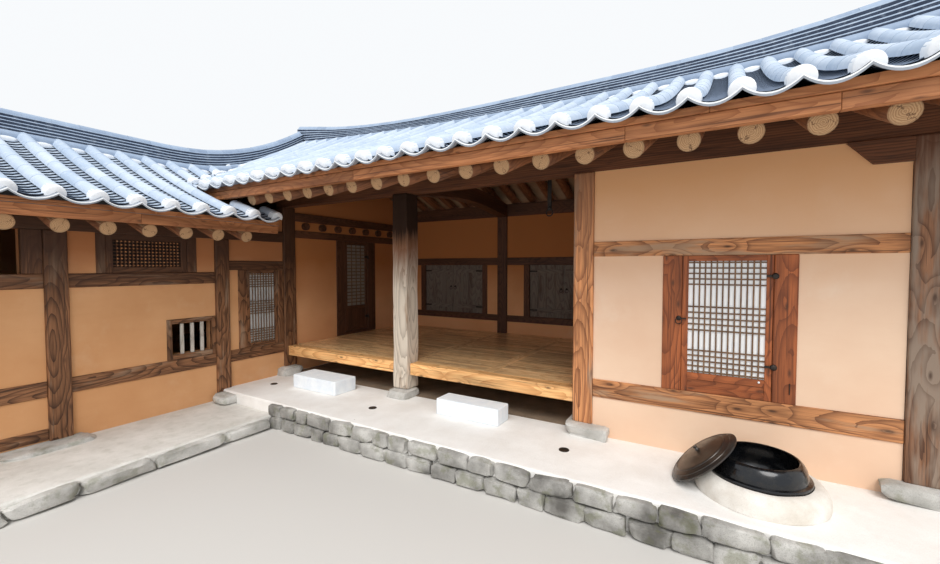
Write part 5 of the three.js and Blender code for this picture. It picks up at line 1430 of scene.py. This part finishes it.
def trough(drops, sag, parts, under=0.0):
    """A concave tile: a strip sagging in its middle, its lower edge turned down in two steps, the
    rim and the part under it, which is marked with under, for painted shadow below the tile's edge."""
    pick_none()
    bpy.ops.mesh.primitive_grid_add(x_subdivisions=parts, y_subdivisions=1, size=1, location=(0, 0.5, 0))
    bpy.ops.object.transform_apply(location=True)
    piece = bpy.context.object
    front = 0.0
    for number, drop in enumerate(drops):
        bpy.ops.object.mode_set(mode="EDIT")
        bpy.ops.mesh.select_all(action="DESELECT")
        leave_edit()
        lowest = min(vertex.co.z for vertex in piece.data.vertices)
        for edge in piece.data.edges:
            ends = [piece.data.vertices[v].co for v in edge.vertices]
            in_front = max(end.y for end in ends) < front + 0.01
            edge.select = in_front and max(end.z for end in ends) < lowest + 0.0001
        bpy.ops.object.mode_set(mode="EDIT")
        inward = -0.04 if number == 0 else 0.03
        bpy.ops.mesh.extrude_edges_move(TRANSFORM_OT_translate={"value": (0, inward, -drop)})
        front += inward
        bpy.ops.mesh.select_all(action="SELECT")
        bpy.ops.mesh.normals_make_consistent(inside=False)
        leave_edit()
    rim = []
    for face in piece.data.polygons:
        on_rim = -drops[0] < face.center.z < -0.0001
        rim.append(1.0 if on_rim else (under if face.center.z < -drops[0] else 0.0))
    points = points_of(piece)
    points[:, 2] += sag * (4 * points[:, 0] ** 2 - 1)
    set_points(piece, points)
    if piece.data.polygons[0].normal.z < 0:
        piece.data.flip_normals()
    return piece, rim


COURSE = 0.088
JOINT_DROP = 0.064
SAG = 0.058
LIP_SAG = SAG + 0.006
# The part under each trough's rim is marked -1, to be painted as shadow.
trough_piece, rim = trough([0.0045, 0.022], SAG, 6, -1.0)
trough_shape = shape_of(trough_piece, 1.0, 0.017, rim)
lip_piece, rim = trough([0.009, 0.014], LIP_SAG, 10)
lip_shape = shape_of(lip_piece, 1.0, 0.014, rim)

plug_model = lying_bar(20)
for edge in plug_model.data.edges:
    edge.select = max(plug_model.data.vertices[v].co.y for v in edge.vertices) < 0.01
for face in plug_model.data.polygons:
    face.select = False
bpy.context.tool_settings.mesh_select_mode = (False, True, False)
bpy.ops.object.mode_set(mode="EDIT")
bpy.ops.mesh.bevel(offset=0.22, segments=2, affect="EDGES")
leave_edit()
bpy.context.tool_settings.mesh_select_mode = (True, False, False)
points = points_of(plug_model)
below = points[:, 2] < -0.001
arc = 0.019 + LIP_SAG * ((1 - 0.52 * np.abs(points[:, 0])) ** 2 - 1)
points[:, 2] = np.where(below, arc, points[:, 2] * 0.074)
points[:, 0] *= 0.5
set_points(plug_model, points)
plug_shape = shape_of(plug_model)


# The faces of the roofs: each carries its rolls on lines from eave to ridge, troughs between the
# lines, and at the eave a lip in each trough and white lime in each roll's mouth.
EDGE_GAP = 0.03
LIME_INSET = 0.052
AT_EAVE = 0.002


def stretches(start, stop, length):
    """Cuts a run into lengths, the last one as long as what is left."""
    way = 1 if stop > start else -1
    spot = start
    while (stop - spot) * way > EDGE_GAP:
        after = spot + length * way
        if (stop - after) * way < EDGE_GAP:
            after = stop
        yield spot, after
        spot = after


class Slope:
    """One face of a roof, with the places of its rolls, troughs, lips and lime plugs. bare lists
    lines that only bound a trough and carry no roll."""

    def __init__(self, node, runs_along, lines, start, stop, eave, bare=()):
        self.crown = CROWNS[node]
        self.runs_along = runs_along
        self.lines = lines
        self.start = start
        self.stop = stop
        self.eave = eave
        self.rolled = [line for line in lines if line not in bare]

    def spot(self, line, run, drop):
        x, y = (line, run) if self.runs_along == "y" else (run, line)
        return np.array((x, y, self.crown(x, y) - drop))

    def half_tube(self, line, low, high, half):
        """The four corners under a piece of a roll."""
        side = np.array((1.0, 0, 0)) if self.runs_along == "y" else np.array((0, 1.0, 0))
        ends = [self.spot(line, run, ROLL_DROP) for run in (low, low, high, high)]
        return [end + side * s * half for end, s in zip(ends, (-1, 1, -1, 1))]

    def mouth(self, line):
        """Where a line's lime begins, and which way it runs from there: at the eave inside the lips."""
        start = self.start(line)
        way = 1 if self.stop(line) > start else -1
        return start + way * (LIME_INSET if abs(start - self.eave) < AT_EAVE else 0.0), way

    def rolls(self):
        places = []
        for line in self.rolled:
            mouth, way = self.mouth(line)
            for low, high in stretches(mouth + way * 0.045, self.stop(line), ROLL_LENGTH):
                places.append(self.half_tube(line, low, high, ROLL_R / 2))
        return places

    def troughs(self, lips):
        places = []
        lines = sorted(self.lines)
        for a, b in zip(lines, lines[1:]):
            middle = (a + b) / 2
            start, stop = self.start(middle), self.stop(middle)
            for number, (low, high) in enumerate(stretches(start, stop, COURSE)):
                at_eave = number == 0 and abs(start - self.eave) < AT_EAVE
                if at_eave == lips:
                    corners = [(line, run) for run in (low, high) for line in (a, b)]
                    places.append([self.spot(line, run, JOINT_DROP) for line, run in corners])
        return places

    def balls(self, spots, reach):
        """Middles and reaches, along the slope's axes, as whole-frame places and sizes."""
        size = np.array(reach if self.runs_along == "y" else (reach[1], reach[0], reach[2]))
        return [(spot, size) for spot in spots]

    def plugs(self):
        """White lime in the mouth of each roll, round above and cut to the lips' arcs below."""
        places = []
        for line in self.rolled:
            mouth, way = self.mouth(line)
            places.append(self.half_tube(line, mouth, mouth + way * 0.1, ROLL_R + 0.0005))
        return places

    def heads(self):
        """The rounded upper end of each roll."""
        spots = [self.spot(line, self.stop(line), 0.07) for line in self.rolled]
        return self.balls(spots, (0.071, 0.05, 0.068))


def settle_balls(name, places, finish):
    """Small round lumps joined as one piece, each a copy of one ball squashed to its size."""
    pick_none()
    bpy.ops.mesh.primitive_uv_sphere_add(segments=14, ring_count=8, radius=1)
    model = bpy.context.object
    ball = points_of(model)
    ball_faces = [tuple(face.vertices) for face in model.data.polygons]
    bpy.data.objects.remove(model)
    points = [ball * size + spot + np.array(FEET) for spot, size in places]
    shifts = [number * len(ball) for number in range(len(places))]
    faces = [tuple(v + shift for v in face) for shift in shifts for face in ball_faces]
    piece = piece_from(name, np.concatenate(points), faces)
    bpy.ops.object.shade_smooth()
    return settle(piece, name, finish)


def valley_y(x):
    share = (VALLEY_FOOT[0] - x) / (VALLEY_FOOT[0] - VALLEY_HEAD[0])
    return VALLEY_FOOT[1] + (VALLEY_HEAD[1] - VALLEY_FOOT[1]) * share


def valley_x(y):
    share = (y - VALLEY_FOOT[1]) / (VALLEY_HEAD[1] - VALLEY_FOOT[1])
    return VALLEY_FOOT[0] + (VALLEY_HEAD[0] - VALLEY_FOOT[0]) * share


def corner_stop(y):
    """How far the court side's tiles run in under the main eave, next to the inner corner."""
    share = (-0.6 - y) / 0.65
    return -5.4 - 0.3 * share + 0.04


ROLL_END = 0.117
back_lines = [2.274] + [2.101 - 0.29 * number for number in range(41)]
wing_lines = [-5.224] + [-5.0834 + 0.3126 * number for number in range(1, 30)]
court_lines = [y for y in wing_lines if y < 1.4]
corner_lines = [y for y in wing_lines if -1.4 < y < -0.6]
FRONT_EAVE = MAIN_RIDGE_Y - MAIN_REACH + 0.002
BACK_EAVE = MAIN_RIDGE_Y + MAIN_REACH - 0.045
COURT_EAVE = WING_X + WING_REACH - 0.002
OUTER_EAVE = WING_X - WING_REACH + 0.045
slopes = {
    "front": Slope("main_roof", "y", [x for x in back_lines if x > -7.2],
                   lambda x: FRONT_EAVE if x > VALLEY_FOOT[0] else valley_y(x) + 0.11,
                   lambda x: MAIN_RIDGE_Y - ROLL_END, FRONT_EAVE),
    "back": Slope("main_roof", "y", [x for x in back_lines if x > -9.55],
                  lambda x: BACK_EAVE,
                  lambda x: MAIN_RIDGE_Y + ROLL_END if x > WING_X else hip_y(x) + 0.2, BACK_EAVE),
    "court": Slope("wing_roof", "x", court_lines,
                   lambda y: COURT_EAVE if y < VALLEY_FOOT[1] else valley_x(y) - 0.11,
                   lambda y: WING_X + ROLL_END, COURT_EAVE),
    "corner": Slope("wing_roof", "x", corner_lines,
                    lambda y: COURT_EAVE, corner_stop, COURT_EAVE, corner_lines[:1]),
    "outer": Slope("wing_roof", "x", wing_lines,
                   lambda y: OUTER_EAVE, lambda y: min(WING_X - ROLL_END, hip_x(y) - 0.2), OUTER_EAVE),
}
for side, slope in slopes.items():
    lay(f"{side}_roof_rolls", roll_shape, slope.rolls(), 21, roll_tile)
    lay(f"{side}_roof_troughs", trough_shape, slope.troughs(False), 22, trough_tile)
    lay(f"{side}_roof_lips", lip_shape, slope.troughs(True), 23, lip_tile)
    lay(f"{side}_roof_plugs", plug_shape, slope.plugs(), 24, lime)
    settle_balls(f"{side}_roll_heads", slope.heads(), roll_tile)


# Under the tiles lies a bed of clay, dark grey with painted shade from the tiles above: the frame's own roof
# coats, sunk below the troughs and drawn in behind the eave boards.
BED_DROP = 0.136
# Painted shade: the bed is dark grey, for the shadow under the tiles where it shows.
shaded_bed_clay = plaster("shaded_bed_clay", (0.19, 0.18, 0.17), (0.12, 0.115, 0.11), (0.30, 0.28, 0.26))
for node in ("main_roof", "wing_roof"):
    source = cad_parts[node].data
    bed = bpy.data.objects.new(f"{node}_bed", source.copy())
    bpy.context.collection.objects.link(bed)
    top_faces = [face for face in source.polygons if face.normal.z > 0.3]
    on_top = {tuple(round(c, 3) for c in source.vertices[v].co) for face in top_faces for v in face.vertices}
    points = points_of(bed)
    for point in points:
        spot = point - np.array(FEET)
        if tuple(round(c, 3) for c in point) in on_top:
            point[2] = CROWNS[node](spot[0], spot[1]) - BED_DROP + FEET.z
        point[0] = max(point[0], -9.55 + FEET.x)
        point[1] = min(point[1], 4.2 + FEET.y)
        if node == "main_roof":
            point[1] = max(point[1], -1.095 + FEET.y)
        else:
            point[0] = min(point[0], -5.24 + FEET.x)
    set_points(bed, points)
    settle(bed, f"{node}_bed", shaded_bed_clay, instead_of=[node])


# The valley between the roofs: a line of wide troughs, lapped like the rest, from the ridge of the
# wing down to the inner corner of the eaves.
foot = np.array((*VALLEY_FOOT, 0.0))
head = np.array((*VALLEY_HEAD, 0.0))
length = float(np.linalg.norm(head - foot))
across = np.array((-(head - foot)[1], (head - foot)[0], 0.0)) / length
valley_places = []
for low, high in stretches(0.0, length - 0.05, 0.11):
    corners = []
    for run in (low, high):
        for hand in (-1, 1):
            middle = foot + (head - foot) * run / length
            spot = middle - across * hand * 0.14
            spot[2] = max(main_crown(*middle[:2]), wing_crown(*middle[:2])) - 0.06
            corners.append(spot)
    valley_places.append(corners)
lay("valley_troughs", trough_shape, valley_places, 31, trough_tile)


# The ridges: thin dark tiles stacked in courses, pale along their edges, and a line of half-round
# tiles on top. The main ridge rises to both ends, the wing's climbs to meet it, the hip falls away.
RIDGE_COURSES = 5
RIDGE_ROOM = 0.07
CAP_LENGTH = 0.27
CAP_HALF = 0.037
CAP_DROP = 0.077
PARTS = (("courses", 0.02, 0.7, 0.97), ("edges", 0.7, 1.02, 0.93))


def tops_of(node, way_points):
    """How high a piece of the frame reaches over each place."""
    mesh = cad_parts[node].data
    shape = BVHTree.FromPolygons(
        [vertex.co.copy() for vertex in mesh.vertices], [tuple(face.vertices) for face in mesh.polygons],
    )
    return [shape.ray_cast(at(*point, 9), Vector((0, 0, -1)))[0].z - FEET.z for point in way_points]


def aside(along):
    """The level direction across a line."""
    return np.array((-along[1], along[0])) / np.linalg.norm(along)


def bar_through(name, sections):
    """A bar through four-cornered cross sections, closed at both ends."""
    last = (len(sections) - 1) * 4
    faces = []
    for a in range(0, last, 4):
        for corner in range(4):
            after = (corner + 1) % 4
            faces.append((a + corner, a + 4 + corner, a + 4 + after, a + after))
    faces += [(0, 1, 2, 3), (last + 3, last + 2, last + 1, last)]
    return piece_from(name, (np.array(sections) + np.array(FEET)).reshape(-1, 3), faces)


def ridge(name, node, way_points, wide, base_of):
    """Courses and a cap along a line of (x, y) points. base_of gives the height it stands on."""
    way_points = [np.array(point) for point in way_points]
    tops = tops_of(node, way_points)
    bases = [base_of(*point) for point in way_points]
    end = len(way_points) - 1
    for part, (label, share_low, share_high, width) in enumerate(PARTS):
        courses = []
        for course in range(RIDGE_COURSES):
            sections = []
            for number, point in enumerate(way_points):
                side = aside(way_points[min(number + 1, end)] - way_points[max(number - 1, 0)])
                foot, top = bases[number] - RIDGE_ROOM, tops[number] - RIDGE_ROOM
                step = (top - foot) / RIDGE_COURSES
                wave = noise.noise(Vector((number * 0.7, course * 3.1 + part * 0.3, wide * 50)))
                low = foot + step * (course + share_low + 0.08 * wave)
                high = foot + step * (course + share_high + 0.08 * wave)
                half = wide / 2 * (width + 0.05 * wave) * (1.0 - 0.04 * course)
                left, right = point - side * half, point + side * half
                sections.append([(*left, low), (*right, low), (*right, high), (*left, high)])
            courses.append(bar_through(name, sections))
        merged = join(courses)
        edit_all()
        bpy.ops.mesh.normals_make_consistent(inside=False)
        leave_edit()
        finish = ridge_tile if label == "courses" else roll_tile
        settle(merged, f"{name}_{label}", finish, instead_of=[node] if label == "courses" else ())
    places = []
    reach = [0.0]
    for first, second in zip(way_points, way_points[1:]):
        reach.append(reach[-1] + float(np.linalg.norm(second - first)))
    for low, high in stretches(0.0, reach[-1], CAP_LENGTH):
        corners = []
        for run in (low, high):
            number = min(max(i for i, r in enumerate(reach) if r <= run + 1e-9), end - 1)
            share = (run - reach[number]) / (reach[number + 1] - reach[number])
            along = way_points[number + 1] - way_points[number]
            point = way_points[number] + along * share
            height = tops[number] + (tops[number + 1] - tops[number]) * share - CAP_DROP
            for hand in (-1, 1):
                corners.append(np.array((*(point - aside(along) * hand * CAP_HALF), height)))
        places.append(corners)
    lay(f"{name}_cap", roll_shape, places, 41, foot_tile)


main_way = [(-7.515 + 9.84 * n / 40, MAIN_RIDGE_Y) for n in range(41)]
ridge("main_ridge_tiles", "main_ridge", main_way, 0.225, main_crown)
wing_way = [(WING_X, -5.275 + 6.7 * n / 36) for n in range(37)]
ridge("wing_ridge_tiles", "wing_ridge", wing_way, 0.225, wing_crown)
hip_xs = [WING_X - WING_REACH * (0.078 + 0.88 * n / 18) for n in range(19)]
hip_way = [(x, hip_y(x)) for x in hip_xs]
ridge("hip_ridge_tiles", "hip_ridge", hip_way, 0.19, main_crown)


# At the ridge's foot a half-round tile lies across each trough, bedded in a crescent of lime, so
# that no rain runs in behind the courses.
for side in ("front", "back", "court", "outer"):
    slope = slopes[side]
    lines = sorted(slope.lines)
    feet = []
    crescents = []
    for a, b in zip(lines, lines[1:]):
        stop = slope.stop((a + b) / 2)
        ridge_line = MAIN_RIDGE_Y if slope.runs_along == "y" else WING_X
        if abs(abs(stop - ridge_line) - ROLL_END) > 0.002:
            continue
        way = 1 if slope.start((a + b) / 2) > stop else -1
        near = [slope.spot(line, stop + way * 0.045, 0.078) for line in (a, b)]
        far = [slope.spot(line, stop - way * 0.015, 0.078) for line in (a, b)]
        feet.append([near[0], far[0], near[1], far[1]])
        middle = slope.spot((a + b) / 2, stop + way * 0.06, 0.098)
        crescents += slope.balls([middle], (0.118, 0.03, 0.046))
    lay(f"{side}_ridge_foot", roll_shape, feet, 51, foot_tile)
    settle_balls(f"{side}_ridge_crescents", crescents, lime)


# The setting: a plain pale floor, soft light from a bright sky, a broad sun from the front right,
# and the camera where the photograph was taken from.
bpy.ops.mesh.primitive_plane_add(size=120, location=(0, 0, -0.001))
floor = bpy.context.object
floor.name = "floor"
floor_paint, tree, surface = new_finish("floor_paint", 0.9)
surface.inputs["Base Color"].default_value = (0.62, 0.605, 0.58, 1.0)
floor.data.materials.append(floor_paint)

world = bpy.data.worlds.new("soft_sky")
world.use_nodes = True
sky = world.node_tree.nodes["Background"]
sky.inputs["Color"].default_value = (0.96, 0.98, 1.0, 1.0)
sky.inputs["Strength"].default_value = 0.98
bpy.context.scene.world = world
bpy.context.scene.view_settings.view_transform = "Standard"

sun = bpy.data.lights.new("broad_sun", "SUN")
sun.energy = 2.25
sun.angle = math.radians(35)
sun.color = (1.0, 0.97, 0.93)
sun_lamp = bpy.data.objects.new("broad_sun", sun)
sun_lamp.rotation_euler = (math.radians(40), 0, math.radians(28))
bpy.context.collection.objects.link(sun_lamp)

lens = bpy.data.cameras.new("photo_camera")
lens.lens = 16.35
lens.sensor_width = 36.0
lens.clip_start = 0.05
lens.clip_end = 400.0
camera = bpy.data.objects.new("photo_camera", lens)
camera.location = (3.7, -3.818, 1.997)
camera.rotation_euler = (math.radians(90 - 2.04), 0, math.radians(30.8))
bpy.context.collection.objects.link(camera)
bpy.context.scene.camera = camera
